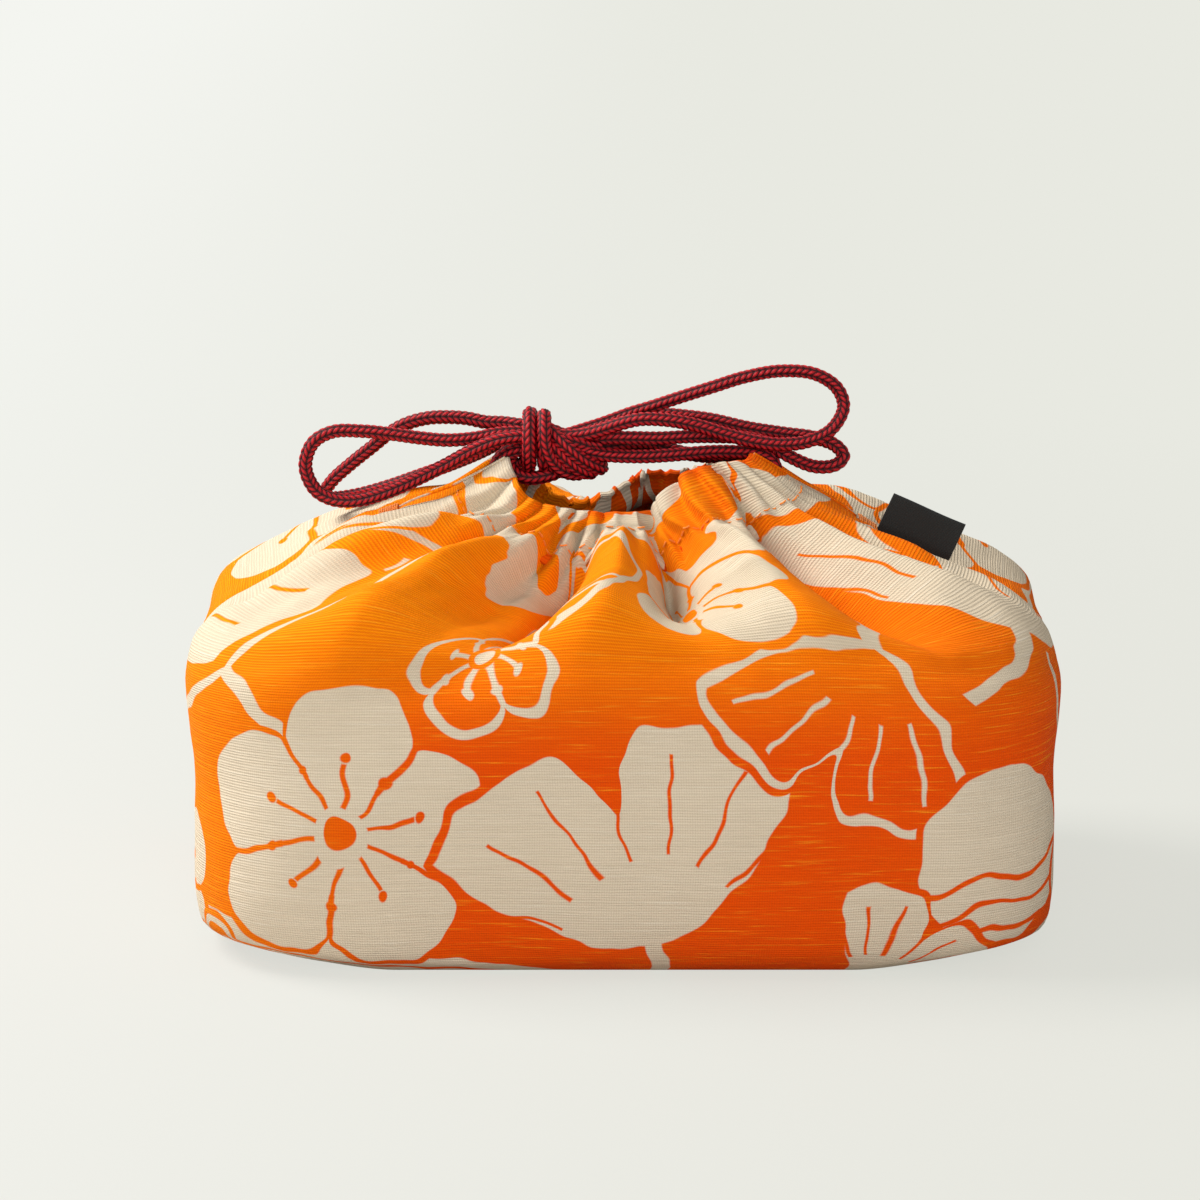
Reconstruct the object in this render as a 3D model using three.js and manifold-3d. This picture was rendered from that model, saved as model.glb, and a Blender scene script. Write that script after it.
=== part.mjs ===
// Drawstring lunch bag of slub cotton, filled out to its boxed shape.
// Two cloth panels meet in side seams and in a seam under the base. Round the mouth each panel
// has a sewn casing. Two braided drawcords run through both casings, leave at opposite slits
// and are tied in a bow on top. A blank woven label stands in the right side seam.
// Millimetres. +X right, +Y back, +Z up, origin under the middle of the base.

import * as THREE from 'three';
import { mergeVertices } from 'three/addons/utils/BufferGeometryUtils.js';
import Module from 'manifold-3d';

const wasm = await Module();
wasm.setup();

// Cloth, hems and clearances
const CLOTH = 1.0; // wall of a panel
const HEM = 0.8; // wall of a folded hem or a seam allowance
const GAP = 0.3; // clearance between pieces that touch
const THREAD = 0.5; // sewing thread laid on the cloth

// Body outline, from the floor up: outside width and depth, corner radius, height
const BASE_WIDTH = 194;
const BASE_DEPTH = 122;
const BASE_CORNER = 24;
const FOOT_WIDTH = 204;
const FOOT_DEPTH = 132;
const FOOT_CORNER = 27;
const FOOT_HEIGHT = 5;
const BELLY_WIDTH = 206;
const BELLY_DEPTH = 142;
const BELLY_CORNER = 32;
const BELLY_HEIGHT = 42;
const SHOULDER_WIDTH = 207;
const SHOULDER_DEPTH = 130;
const SHOULDER_CORNER = 34;
const SHOULDER_HEIGHT = 79;
const SLOPE_WIDTH = 146;
const SLOPE_DEPTH = 90;
const SLOPE_CORNER = 32;
const SLOPE_HEIGHT = 90;
const SLOPE_SEAM_HEIGHT = 95;
const NECK_WIDTH = 88;
const NECK_DEPTH = 52;
const NECK_CORNER = 21;
const NECK_HEIGHT = 97.5;
const NECK_SEAM_HEIGHT = 106.5;
const MOUTH_WIDTH = 62;
const MOUTH_DEPTH = 31;
const MOUTH_CORNER = 12.5;
const RIM_HEIGHT = 107;
const SLIT_PEAK_HEIGHT = 114.5;
const MOUTH_SHIFT = 1.5; // the mouth is drawn a little to the right
const SEAM_SHARPNESS = 2.2; // how quickly the cloth falls away from the side seam ridge
const BOTTOM_SEAM_END = 6; // from the base's end to the end of the bottom seam line

// The side seams sag a little between the shoulder and the slit, and the back of the rim sags
// behind the knot. Middles and reaches are stations, or shares of a panel's half.
const LEFT_SAG = 6.5;
const LEFT_SAG_KEPT = 3.4; // stations: the sag is whole from SAG_WHOLE to here, and gone by the next
const LEFT_SAG_END = 4.1;
const RIGHT_SAG = 5.3;
const RIGHT_SAG_KEPT = 4;
const RIGHT_SAG_END = 5;
const SAG_START = 2.5;
const SAG_WHOLE = 3;
const RIM_SAG = 4;
const RIM_SAG_START = 4.4;
const RIM_SAG_PLACE = -0.25;
const RIM_SAG_REACH = 0.42;

// The boxed corners stand clear of the floor. Places are shares of a panel's half.
const CORNER_LIFT = 4;
const CORNER_PLACE = 0.62;
const CORNER_REACH = 0.25;
const CORNER_FADE = 10; // height over which the lift dies out

// Shape of the folds: the lower, the sharper the crest or the crease
const RIDGE_SHAPE = 1.6;
const VALLEY_SHAPE = 1.3;
const FOLD_EDGE = 8; // the higher, the closer to the side seams the folds reach
const CASING_FLATTENING = 0.55; // share of its height that a fold loses where the casing is sewn
const FLATTENING_START = 4.5; // stations between which it does
const FLATTENING_END = 5.2;

// Casing, slits and seam allowances
const CORD = 3.0; // drawcord diameter
const CORD_PLAY = 1.2; // drawcord's clearance in the casing, both sides together
const CASING_DEPTH = 13;
const CASING_END = 26 / 28; // the casing stops just short of the slit, as a share of a panel's half
const RUN_END = 0.95; // a drawcord's run reaches a little out of the casing
const UPPER_RUN = 5; // from the rim down to the middle of the upper cord
const LOWER_RUN = 9.2; // the same for the lower cord
const SLIT_OPENING = 12; // between the two panels at the rim
const SLIT_DEPTH = 21; // from the rim down the side seam
const ALLOWANCE = 9; // width of a seam allowance
const GUSSET_LENGTH = 32; // across the base's end, between its lifted corners
const SLIT_HEM_WIDTH = 5;
const SLIT_HEM_INSET = 0.2; // from the slit's edge to the folded edge inside it
const BARTACK_LENGTH = 6;
const BARTACK_WIDTH = 1.6;
const BARTACK_THICKNESS = 0.8;

// Label
const LABEL_WIDTH = 20;
const LABEL_HEIGHT = 9.8;
const LABEL_THICKNESS = 0.8;
const LABEL_X = 72.2; // middle of the label, from the bag's middle

// Bow
const KNOT_CENTRE = [-15, -1, 117.6];
const KNOT_LENGTH = 19.2;
const KNOT_RADIUS = 5.6;
const KNOT_ROUND = 1.6; // rounding of the packed middle's ends
const WRAP_RADIUS = 5.9;
const WRAP_HEIGHT = 1.12; // a wrap is taller than it is deep by this factor
const WRAP_RAISE = 0.6; // a wrap's centre above the knot's centre
const WRAP_PLACES = [-7.8, -4.3]; // along X, from the knot's centre
const STRAND_COUNT = 2; // strands side by side across the knot's front

// Mesh fineness
const PANEL_COLUMNS = 56;
const CASING_COLUMNS = 52;
const CORD_SIDES = 8;
const KNOT_SIDES = 14;
const CORD_STEP = 6.5;
const LEAD_STEP = 3.2; // a lead bends tightly at its slit
const RUN_STEP = 3.0;
const THREAD_SIDES = 4;
const THREAD_STEP = 1.8;
const THREAD_POINTS = 52;
const RUN_POINTS = 38; // along one panel
const SLIT_HEM_STEPS = 3;
const SURFACE_STEP = 0.02; // for finding the outward direction
const HALVINGS = 30; // for finding a point on the seam ridge
const WELD = 1e-4; // vertices closer than this are one

// Stations up the wall, counted from the base's edge
const BOTTOM_SEAM = -1;
const BASE = 0;
const FOOT = 1;
const SHOULDER = 3;
const SLOPE = 4;
const RIM = 6;

const FRONT = -1;
const BACK = 1;
const LEFT = -1;
const RIGHT = 1;

const finishes = {
  cloth: { color: 0xe8600c, roughness: 0.9 },
  hem: { color: 0xdc5a10, roughness: 0.9 },
  seam: { color: 0xcf5512, roughness: 0.9 },
  thread: { color: 0xe98a2a, roughness: 0.7 },
  cord: { color: 0x6a1420, roughness: 0.7 },
  label: { color: 0x222220, roughness: 0.8 },
};

// Folds run from the mouth down over the shoulder, each as a line of stations. Places across a
// panel go from -1 at the left seam to 1 at the right. A ridge has a positive height, a valley a
// negative one, and the spread is half the fold's width.
const frontFolds = [
  [
    { station: 6, place: -0.84, height: 1, spread: 3 },
    { station: 5.2, place: -0.88, height: 2.6, spread: 4.5 },
    { station: 4.3, place: -0.9, height: 3.2, spread: 6 },
    { station: 3.6, place: -0.9, height: 2.4, spread: 8 },
    { station: 2.9, place: -0.92, height: 0, spread: 10 },
  ],
  [
    { station: 6, place: -0.76, height: -0.8, spread: 2.4 },
    { station: 4.85, place: -0.815, height: -3.2, spread: 4 },
    { station: 4, place: -0.83, height: -3.2, spread: 5.5 },
    { station: 3.3, place: -0.81, height: 0, spread: 8 },
  ],
  [
    { station: 6, place: -0.69, height: 1.6, spread: 3 },
    { station: 5.3, place: -0.68, height: 3.4, spread: 4.4 },
    { station: 4.7, place: -0.675, height: 4.6, spread: 6 },
    { station: 4, place: -0.7, height: 4.4, spread: 8 },
    { station: 3.3, place: -0.73, height: 2.2, spread: 10 },
    { station: 2.8, place: -0.75, height: 0, spread: 12 },
  ],
  [
    { station: 6, place: -0.57, height: -1.2, spread: 2.4 },
    { station: 5, place: -0.57, height: -3.4, spread: 4 },
    { station: 4.2, place: -0.57, height: -2.6, spread: 6 },
    { station: 3.5, place: -0.59, height: -1, spread: 8 },
    { station: 3.1, place: -0.6, height: 0, spread: 9 },
  ],
  [
    { station: 6, place: -0.48, height: 1.2, spread: 3 },
    { station: 5, place: -0.47, height: 4.2, spread: 7 },
    { station: 4.2, place: -0.46, height: 5.6, spread: 10 },
    { station: 3.6, place: -0.45, height: 5.2, spread: 14 },
    { station: 3, place: -0.43, height: 2.8, spread: 18 },
    { station: 2.4, place: -0.44, height: 0, spread: 20 },
  ],
  [
    { station: 5.8, place: -0.4, height: 0, spread: 4 },
    { station: 5.2, place: -0.36, height: -3.4, spread: 7 },
    { station: 4.5, place: -0.31, height: -5, spread: 10 },
    { station: 3.9, place: -0.3, height: -4.6, spread: 12 },
    { station: 3.3, place: -0.3, height: -2, spread: 14 },
    { station: 2.9, place: -0.32, height: 0, spread: 15 },
  ],
  [
    { station: 6, place: -0.3, height: -1.6, spread: 2.6 },
    { station: 5.4, place: -0.25, height: -5, spread: 4 },
    { station: 4.8, place: -0.2, height: -8.6, spread: 4.6 },
    { station: 4.17, place: -0.185, height: -9.6, spread: 5.2 },
    { station: 3.68, place: -0.18, height: -8.6, spread: 6 },
    { station: 3.3, place: -0.19, height: -5.6, spread: 8 },
    { station: 3, place: -0.22, height: -2.8, spread: 10 },
    { station: 2.6, place: -0.3, height: 0, spread: 12 },
  ],
  [
    { station: 6, place: -0.01, height: 2.2, spread: 5 },
    { station: 5.2, place: -0.02, height: 4.6, spread: 8 },
    { station: 4.5, place: -0.03, height: 6.6, spread: 10 },
    { station: 3.8, place: -0.035, height: 7, spread: 12 },
    { station: 3.25, place: -0.05, height: 5.4, spread: 15 },
    { station: 2.8, place: -0.08, height: 2.6, spread: 18 },
    { station: 2.3, place: -0.12, height: 0, spread: 20 },
  ],
  [
    { station: 6, place: 0.13, height: -2, spread: 2.4 },
    { station: 5.45, place: 0.13, height: -5.4, spread: 3.2 },
    { station: 4.73, place: 0.135, height: -9, spread: 4.6 },
    { station: 4.2, place: 0.12, height: -9, spread: 5.4 },
    { station: 3.85, place: 0.11, height: -6.4, spread: 7 },
    { station: 3.45, place: 0.11, height: -2.2, spread: 9 },
    { station: 3, place: 0.12, height: 0, spread: 11 },
  ],
  [
    { station: 6, place: 0.4, height: 1.6, spread: 3.4 },
    { station: 5.3, place: 0.38, height: 4.6, spread: 5.5 },
    { station: 4.67, place: 0.34, height: 6.4, spread: 8 },
    { station: 4, place: 0.31, height: 6.4, spread: 10.5 },
    { station: 3.3, place: 0.3, height: 4.2, spread: 14 },
    { station: 2.7, place: 0.33, height: 0, spread: 18 },
  ],
  [
    { station: 6, place: 0.56, height: -1.2, spread: 2.4 },
    { station: 5.4, place: 0.53, height: -3.6, spread: 3.4 },
    { station: 4.5, place: 0.49, height: -6.8, spread: 5.2 },
    { station: 3.75, place: 0.47, height: -6.4, spread: 7 },
    { station: 3.35, place: 0.47, height: -4, spread: 9 },
    { station: 2.9, place: 0.5, height: 0, spread: 12 },
  ],
  [
    { station: 6, place: 0.7, height: 1.4, spread: 2.8 },
    { station: 5, place: 0.66, height: 4, spread: 5 },
    { station: 4.2, place: 0.64, height: 5.2, spread: 7.5 },
    { station: 3.68, place: 0.66, height: 4.2, spread: 10 },
    { station: 3, place: 0.72, height: 0, spread: 14 },
  ],
  [
    { station: 6, place: 0.77, height: -0.8, spread: 2.4 },
    { station: 4.7, place: 0.745, height: -3.4, spread: 4 },
    { station: 4, place: 0.745, height: -3, spread: 6 },
    { station: 3.5, place: 0.78, height: 0, spread: 8 },
  ],
  [
    { station: 6, place: 0.85, height: 0.8, spread: 3 },
    { station: 4.7, place: 0.83, height: 2.8, spread: 4.5 },
    { station: 4.1, place: 0.82, height: 3.2, spread: 6.5 },
    { station: 3.6, place: 0.84, height: 2.2, spread: 8 },
    { station: 3, place: 0.88, height: 0, spread: 10 },
  ],
];
const backFolds = [
  [
    { station: 6, place: -0.76, height: 1, spread: 3 },
    { station: 4.9, place: -0.8, height: 2.3, spread: 5.5 },
    { station: 4, place: -0.8, height: 2.6, spread: 8 },
    { station: 3.2, place: -0.82, height: 1.2, spread: 10 },
    { station: 2.8, place: -0.83, height: 0, spread: 12 },
  ],
  [
    { station: 6, place: -0.6, height: -1.2, spread: 2.4 },
    { station: 5, place: -0.56, height: -5.2, spread: 4.4 },
    { station: 4.1, place: -0.52, height: -6.4, spread: 6.5 },
    { station: 3.4, place: -0.5, height: -2.8, spread: 9 },
    { station: 3, place: -0.5, height: 0, spread: 10 },
  ],
  [
    { station: 6, place: -0.36, height: 1.4, spread: 3 },
    { station: 5, place: -0.33, height: 4.2, spread: 7 },
    { station: 4, place: -0.31, height: 5.4, spread: 11 },
    { station: 3.2, place: -0.32, height: 2.4, spread: 15 },
    { station: 2.6, place: -0.33, height: 0, spread: 18 },
  ],
  [
    { station: 6, place: -0.1, height: -1.8, spread: 2.4 },
    { station: 5.2, place: -0.07, height: -6, spread: 4 },
    { station: 4.4, place: -0.03, height: -8.6, spread: 5.5 },
    { station: 3.7, place: 0, height: -6.6, spread: 8 },
    { station: 3, place: 0.03, height: 0, spread: 11 },
  ],
  [
    { station: 6, place: 0.2, height: 1.4, spread: 3 },
    { station: 5, place: 0.21, height: 4.6, spread: 8 },
    { station: 4, place: 0.22, height: 5.6, spread: 12 },
    { station: 3.2, place: 0.24, height: 2.4, spread: 16 },
    { station: 2.6, place: 0.25, height: 0, spread: 18 },
  ],
  [
    { station: 6, place: 0.45, height: -1.2, spread: 2.4 },
    { station: 5, place: 0.46, height: -5.4, spread: 4.4 },
    { station: 4.1, place: 0.47, height: -6.4, spread: 6.5 },
    { station: 3.4, place: 0.48, height: -2.6, spread: 9 },
    { station: 3, place: 0.5, height: 0, spread: 10 },
  ],
  [
    { station: 6, place: 0.64, height: 1, spread: 3 },
    { station: 5, place: 0.66, height: 2.6, spread: 5.5 },
    { station: 4, place: 0.66, height: 2.4, spread: 8 },
    { station: 3.2, place: 0.66, height: 0, spread: 10 },
  ],
  [
    { station: 6, place: 0.83, height: 1.2, spread: 3 },
    { station: 5, place: 0.83, height: 3.4, spread: 5 },
    { station: 4, place: 0.83, height: 3.8, spread: 8 },
    { station: 3.2, place: 0.84, height: 1.8, spread: 10 },
    { station: 2.8, place: 0.85, height: 0, spread: 12 },
  ],
];

const mix = THREE.MathUtils.lerp;
const ease = THREE.MathUtils.smoothstep;
const bell = (off, reach) => Math.exp(-((off / reach) ** 2));

// Half-width, half-depth and middle height at each station, and then corner radius,
// height at the side seam and shift of the centre.
const outline = new THREE.CatmullRomCurve3([
  new THREE.Vector3(BASE_WIDTH / 2, BASE_DEPTH / 2, 0),
  new THREE.Vector3(FOOT_WIDTH / 2, FOOT_DEPTH / 2, FOOT_HEIGHT),
  new THREE.Vector3(BELLY_WIDTH / 2, BELLY_DEPTH / 2, BELLY_HEIGHT),
  new THREE.Vector3(SHOULDER_WIDTH / 2, SHOULDER_DEPTH / 2, SHOULDER_HEIGHT),
  new THREE.Vector3(SLOPE_WIDTH / 2, SLOPE_DEPTH / 2, SLOPE_HEIGHT),
  new THREE.Vector3(NECK_WIDTH / 2, NECK_DEPTH / 2, NECK_HEIGHT),
  new THREE.Vector3(MOUTH_WIDTH / 2, MOUTH_DEPTH / 2, RIM_HEIGHT),
]);
const seamLine = new THREE.CatmullRomCurve3([
  new THREE.Vector3(BASE_CORNER, 0, 0),
  new THREE.Vector3(FOOT_CORNER, FOOT_HEIGHT, 0),
  new THREE.Vector3(BELLY_CORNER, BELLY_HEIGHT, 0),
  new THREE.Vector3(SHOULDER_CORNER, SHOULDER_HEIGHT, 0),
  new THREE.Vector3(SLOPE_CORNER, SLOPE_SEAM_HEIGHT, MOUTH_SHIFT / 2),
  new THREE.Vector3(NECK_CORNER, NECK_SEAM_HEIGHT, MOUTH_SHIFT),
  new THREE.Vector3(MOUTH_CORNER, SLIT_PEAK_HEIGHT, MOUTH_SHIFT),
]);
const neckToRim = Math.hypot((NECK_DEPTH - MOUTH_DEPTH) / 2, RIM_HEIGHT - NECK_HEIGHT);

function ringAt(station) {
  const share = THREE.MathUtils.clamp(station, BASE, RIM) / RIM;
  const size = outline.getPoint(share);
  const side = seamLine.getPoint(share);
  const ring = { width: size.x, depth: size.y, height: Math.max(size.z, 0) };
  ring.corner = side.x;
  ring.seamHeight = Math.max(side.y, 0);
  ring.shift = side.z;
  ring.length = 2 * (ring.depth + ring.width - 2 * ring.corner) + Math.PI * ring.corner;
  return ring;
}

// A point on a ring, at a distance from the left seam, round the panel. Depth is positive.
function ringPoint(ring, distance) {
  const end = ring.depth - ring.corner;
  const arc = (Math.PI / 2) * ring.corner;
  const fromNearSeam = Math.min(distance, ring.length - distance);
  const side = distance < ring.length / 2 ? LEFT : RIGHT;
  if (fromNearSeam < end) {
    return [side * ring.width, fromNearSeam];
  }
  if (fromNearSeam < end + arc) {
    const turn = (fromNearSeam - end) / ring.corner;
    const x = ring.width - ring.corner + ring.corner * Math.cos(turn);
    return [side * x, end + ring.corner * Math.sin(turn)];
  }
  return [side * (ring.width - ring.corner - (fromNearSeam - end - arc)), ring.depth];
}

// How far the panel's edge stands from the seam plane: almost nothing along the seam, and half
// the slit's opening at the rim.
function edgeInset(station) {
  const slitFoot = RIM - SLIT_DEPTH / neckToRim;
  return mix(GAP / 2, SLIT_OPENING / 2, ease(station, slitFoot, RIM));
}

// The panel's smooth outside, without its folds.
function smoothPoint(panel, place, station) {
  const ring = ringAt(station);
  const inset = edgeInset(station);
  const distance = mix(inset, ring.length - inset, (place + 1) / 2);
  const [x, y] = ringPoint(ring, distance);
  const cornerShare = 1 - ((Math.abs(place) - CORNER_PLACE) / CORNER_REACH) ** 2;
  const lift = CORNER_LIFT * Math.max(cornerShare, 0) ** 2;
  if (station < BASE) {
    const out = station - BOTTOM_SEAM;
    const seamX = place * (ring.width - BOTTOM_SEAM_END);
    return new THREE.Vector3(mix(seamX, x, out), panel * mix(GAP / 2, y, out), lift * out * out);
  }
  const seamShare = Math.abs(place) ** SEAM_SHARPNESS;
  const [most, kept, end] = place < 0
    ? [LEFT_SAG, LEFT_SAG_KEPT, LEFT_SAG_END]
    : [RIGHT_SAG, RIGHT_SAG_KEPT, RIGHT_SAG_END];
  const sag = most * ease(station, SAG_START, SAG_WHOLE) * (1 - ease(station, kept, end));
  const rimSag = panel === BACK ? RIM_SAG * bell(place - RIM_SAG_PLACE, RIM_SAG_REACH) : 0;
  const drop = rimSag * ease(station, RIM_SAG_START, RIM);
  const height = mix(ring.height - drop, ring.seamHeight - sag, seamShare);
  const liftHere = lift * Math.exp(-height / CORNER_FADE);
  return new THREE.Vector3(x + ring.shift, panel * y, height + liftHere);
}

// The outward direction of the smooth surface.
function outward(panel, place, station) {
  if (station < BASE) {
    return new THREE.Vector3(0, 0, -1);
  }
  const before = smoothPoint(panel, Math.max(place - SURFACE_STEP, -1), station);
  const across = smoothPoint(panel, Math.min(place + SURFACE_STEP, 1), station).sub(before);
  const below = smoothPoint(panel, place, station - SURFACE_STEP);
  const up = smoothPoint(panel, place, Math.min(station + SURFACE_STEP, RIM)).sub(below);
  const out = across.cross(up).multiplyScalar(-panel);
  const onSeam = Math.abs(place) === 1 && edgeInset(station) < GAP;
  if (onSeam) {
    out.y = 0;
  }
  return out.normalize();
}

// A fold's place, height and spread at a station, or nothing beyond its ends.
function foldAt(fold, station) {
  const upper = fold.findIndex((knot) => knot.station <= station);
  if (upper < 0 || station > fold[0].station) {
    return null;
  }
  if (upper === 0) {
    return fold[0];
  }
  const [high, low] = [fold[upper - 1], fold[upper]];
  const share = (high.station - station) / (high.station - low.station);
  return {
    place: mix(high.place, low.place, share),
    height: mix(high.height, low.height, share),
    spread: mix(high.spread, low.spread, share),
  };
}

function foldHeight(panel, place, station) {
  const half = ringAt(station).length / 2;
  let height = 0;
  for (const fold of panel === FRONT ? frontFolds : backFolds) {
    const here = foldAt(fold, station);
    if (here) {
      const off = (Math.abs(place - here.place) * half) / here.spread;
      const shape = here.height > 0 ? RIDGE_SHAPE : VALLEY_SHAPE;
      height += here.height * Math.exp(-(off ** shape));
    }
  }
  const flattened = 1 - CASING_FLATTENING * ease(station, FLATTENING_START, FLATTENING_END);
  return height * flattened * (1 - Math.abs(place) ** FOLD_EDGE);
}

// A point at a depth inside the folded outer surface of a panel.
function clothPoint(panel, place, station, depth) {
  const point = smoothPoint(panel, place, station);
  const away = foldHeight(panel, place, station) - depth;
  point.addScaledVector(outward(panel, place, station), away);
  const nearest = GAP / 2;
  point.y = panel * Math.max(panel * point.y, nearest);
  point.z = Math.max(point.z, 0);
  return point;
}

// Station at a distance down from the rim.
const belowRim = (distance) => RIM - distance / neckToRim;

// Closed solid from vertices and triangles, turned to face out.
function closedSolid(points, triangles) {
  let sixVolumes = 0;
  for (let i = 0; i < triangles.length; i += 3) {
    const [a, b, c] = [0, 1, 2].map((k) => points[triangles[i + k]]);
    sixVolumes += a.dot(b.clone().cross(c));
  }
  const facingOut = sixVolumes > 0 ? triangles : [...triangles].reverse();
  const geometry = new THREE.BufferGeometry();
  geometry.setFromPoints(points);
  geometry.setIndex(facingOut);
  return geometry;
}

function quad(triangles, a, b, c, d, leansBack) {
  if (leansBack) {
    triangles.push(a, b, d, b, c, d);
  } else {
    triangles.push(a, b, c, a, c, d);
  }
}

// A cloth wall between an outer and an inner grid of points.
function wallSolid(columns, rows, pointAt) {
  const points = [];
  for (const depth of [0, 1]) {
    for (let row = 0; row <= rows; row++) {
      for (let column = 0; column <= columns; column++) {
        points.push(pointAt(column, row, depth));
      }
    }
  }
  const layer = (columns + 1) * (rows + 1);
  const at = (column, row, depth) => depth * layer + row * (columns + 1) + column;
  const triangles = [];
  for (let row = 0; row < rows; row++) {
    for (let column = 0; column < columns; column++) {
      const leansBack = column >= columns / 2;
      const [a, b] = [at(column, row, 0), at(column + 1, row, 0)];
      const [c, d] = [at(column + 1, row + 1, 0), at(column, row + 1, 0)];
      quad(triangles, a, b, c, d, leansBack);
      quad(triangles, b + layer, a + layer, d + layer, c + layer, !leansBack);
    }
  }
  const border = [];
  for (let column = 0; column < columns; column++) {
    border.push(at(column, 0, 0));
  }
  for (let row = 0; row < rows; row++) {
    border.push(at(columns, row, 0));
  }
  for (let column = columns; column > 0; column--) {
    border.push(at(column, rows, 0));
  }
  for (let row = rows; row > 0; row--) {
    border.push(at(0, row, 0));
  }
  border.forEach((from, k) => {
    const to = border[(k + 1) % border.length];
    triangles.push(from, from + layer, to, to, from + layer, to + layer);
  });
  return closedSolid(points, triangles);
}

// A section carried through a row of steps: pointAt(step, corner) places each corner.
function sweptSolid(steps, section, pointAt) {
  const points = [];
  for (let step = 0; step <= steps; step++) {
    section.forEach((corner) => points.push(pointAt(step, corner)));
  }
  const around = section.length;
  const triangles = [];
  for (let step = 0; step < steps; step++) {
    for (let k = 0; k < around; k++) {
      const next = (k + 1) % around;
      const here = step * around;
      const there = here + around;
      triangles.push(here + k, here + next, there + k, here + next, there + next, there + k);
    }
  }
  const flat = section.map(([x, y]) => new THREE.Vector2(x, y));
  for (const [a, b, c] of THREE.ShapeUtils.triangulateShape(flat, [])) {
    triangles.push(a, c, b);
    const last = steps * around;
    triangles.push(last + a, last + b, last + c);
  }
  return closedSolid(points, triangles);
}

const bag = new THREE.Group();

function add(name, geometry, finish) {
  const material = new THREE.MeshStandardMaterial({ ...finishes[finish], metalness: 0 });
  const mesh = new THREE.Mesh(geometry, material);
  mesh.name = name;
  bag.add(mesh);
  return mesh;
}

// Stations of a panel's rows: across the base, up the wall and over the slope to the rim
const baseRows = [BOTTOM_SEAM, -0.5, BASE, 0.5];
const wallRows = [FOOT, 1.4, 1.8, 2.2, 2.6, SHOULDER, 3.35, 3.7];
const slopeRows = [SLOPE, 4.4, 4.75, 5.08, 5.4, 5.7, RIM];
const panelRows = [...baseRows, ...wallRows, ...slopeRows];

function panelSolid(panel) {
  return wallSolid(PANEL_COLUMNS, panelRows.length - 1, (column, row, depth) => {
    const place = (2 * column) / PANEL_COLUMNS - 1;
    return clothPoint(panel, place, panelRows[row], depth * CLOTH);
  });
}

// Casing: the hem turned in at the rim, a channel open towards the panel and at both ends
const casingInside = CLOTH + CORD + CORD_PLAY;
const casingBack = casingInside + HEM;
const casingFace = CLOTH + GAP;
const casingSection = [
  [casingFace, 0],
  [casingBack, 0],
  [casingBack, CASING_DEPTH],
  [casingFace, CASING_DEPTH],
  [casingFace, CASING_DEPTH - HEM],
  [casingInside, CASING_DEPTH - HEM],
  [casingInside, HEM],
  [casingFace, HEM],
];
function casingSolid(panel) {
  return sweptSolid(CASING_COLUMNS, casingSection, (step, [depth, down]) => {
    const place = CASING_END * ((2 * step) / CASING_COLUMNS - 1);
    return clothPoint(panel, place, belowRim(down), depth);
  });
}

// Seam allowance inside the back panel, along a side seam
function sideSeamSolid(side) {
  const near = CLOTH + GAP;
  const places = [0, 1, 2, 3, 4].map((k) => GAP + (ALLOWANCE * k) / 4);
  const outside = places.map((distance) => [distance, near]);
  const inside = places.map((distance) => [distance, near + HEM]);
  const section = [...outside, ...inside.reverse()];
  const high = belowRim(SLIT_DEPTH + 2 * HEM);
  const stations = [...panelRows.filter((row) => row > FOOT && row < high), high];
  return sweptSolid(stations.length - 1, section, (step, [distance, depth]) => {
    const station = stations[step];
    const place = side * (1 - (2 * distance) / ringAt(station).length);
    return clothPoint(BACK, place, station, depth);
  });
}

// Flat seam allowances on the inside of the base
const seamLevel = CLOTH + GAP + HEM / 2;
const gussetX = BASE_WIDTH / 2 - ALLOWANCE / 2 - 2 * CLOTH;

function bottomSeamSolid() {
  const length = 2 * (gussetX - ALLOWANCE / 2 - GAP);
  return new THREE.BoxGeometry(length, ALLOWANCE, HEM);
}

function gussetSeamSolid() {
  return new THREE.BoxGeometry(ALLOWANCE, GUSSET_LENGTH, HEM);
}

// Folded edge beside a slit, under the casing
function slitHemSolid(panel, side) {
  const near = CLOTH + GAP;
  const section = [
    [SLIT_HEM_INSET, near],
    [SLIT_HEM_WIDTH, near],
    [SLIT_HEM_WIDTH, near + HEM],
    [SLIT_HEM_INSET, near + HEM],
  ];
  const high = belowRim(CASING_DEPTH + GAP);
  const low = belowRim(SLIT_DEPTH);
  return sweptSolid(SLIT_HEM_STEPS, section, (step, [distance, depth]) => {
    const station = mix(low, high, step / SLIT_HEM_STEPS);
    const place = side * (1 - (2 * distance) / ringAt(station).length);
    return clothPoint(panel, place, station, depth);
  });
}

// A round cord along a smooth curve through points
function cordSolid(points, diameter, stepLength, sides) {
  const path = new THREE.CatmullRomCurve3(points);
  const section = new THREE.Shape();
  for (let k = 0; k < sides; k++) {
    const turn = (2 * Math.PI * k) / sides;
    const [x, y] = [(diameter / 2) * Math.cos(turn), (diameter / 2) * Math.sin(turn)];
    if (k === 0) {
      section.moveTo(x, y);
    } else {
      section.lineTo(x, y);
    }
  }
  const steps = Math.max(Math.round(path.getLength() / stepLength), 3);
  return new THREE.ExtrudeGeometry(section, { steps, extrudePath: path, curveSegments: 1 });
}

// Thread laid along the casing's foot, on the outside of a panel
function casingStitchSolid(panel) {
  const points = [];
  for (let k = 0; k <= THREAD_POINTS; k++) {
    const place = CASING_END * ((2 * k) / THREAD_POINTS - 1);
    const depth = -(GAP + THREAD);
    points.push(clothPoint(panel, place, belowRim(CASING_DEPTH - HEM / 2), depth));
  }
  return cordSolid(points, THREAD, THREAD_STEP, THREAD_SIDES);
}

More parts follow.
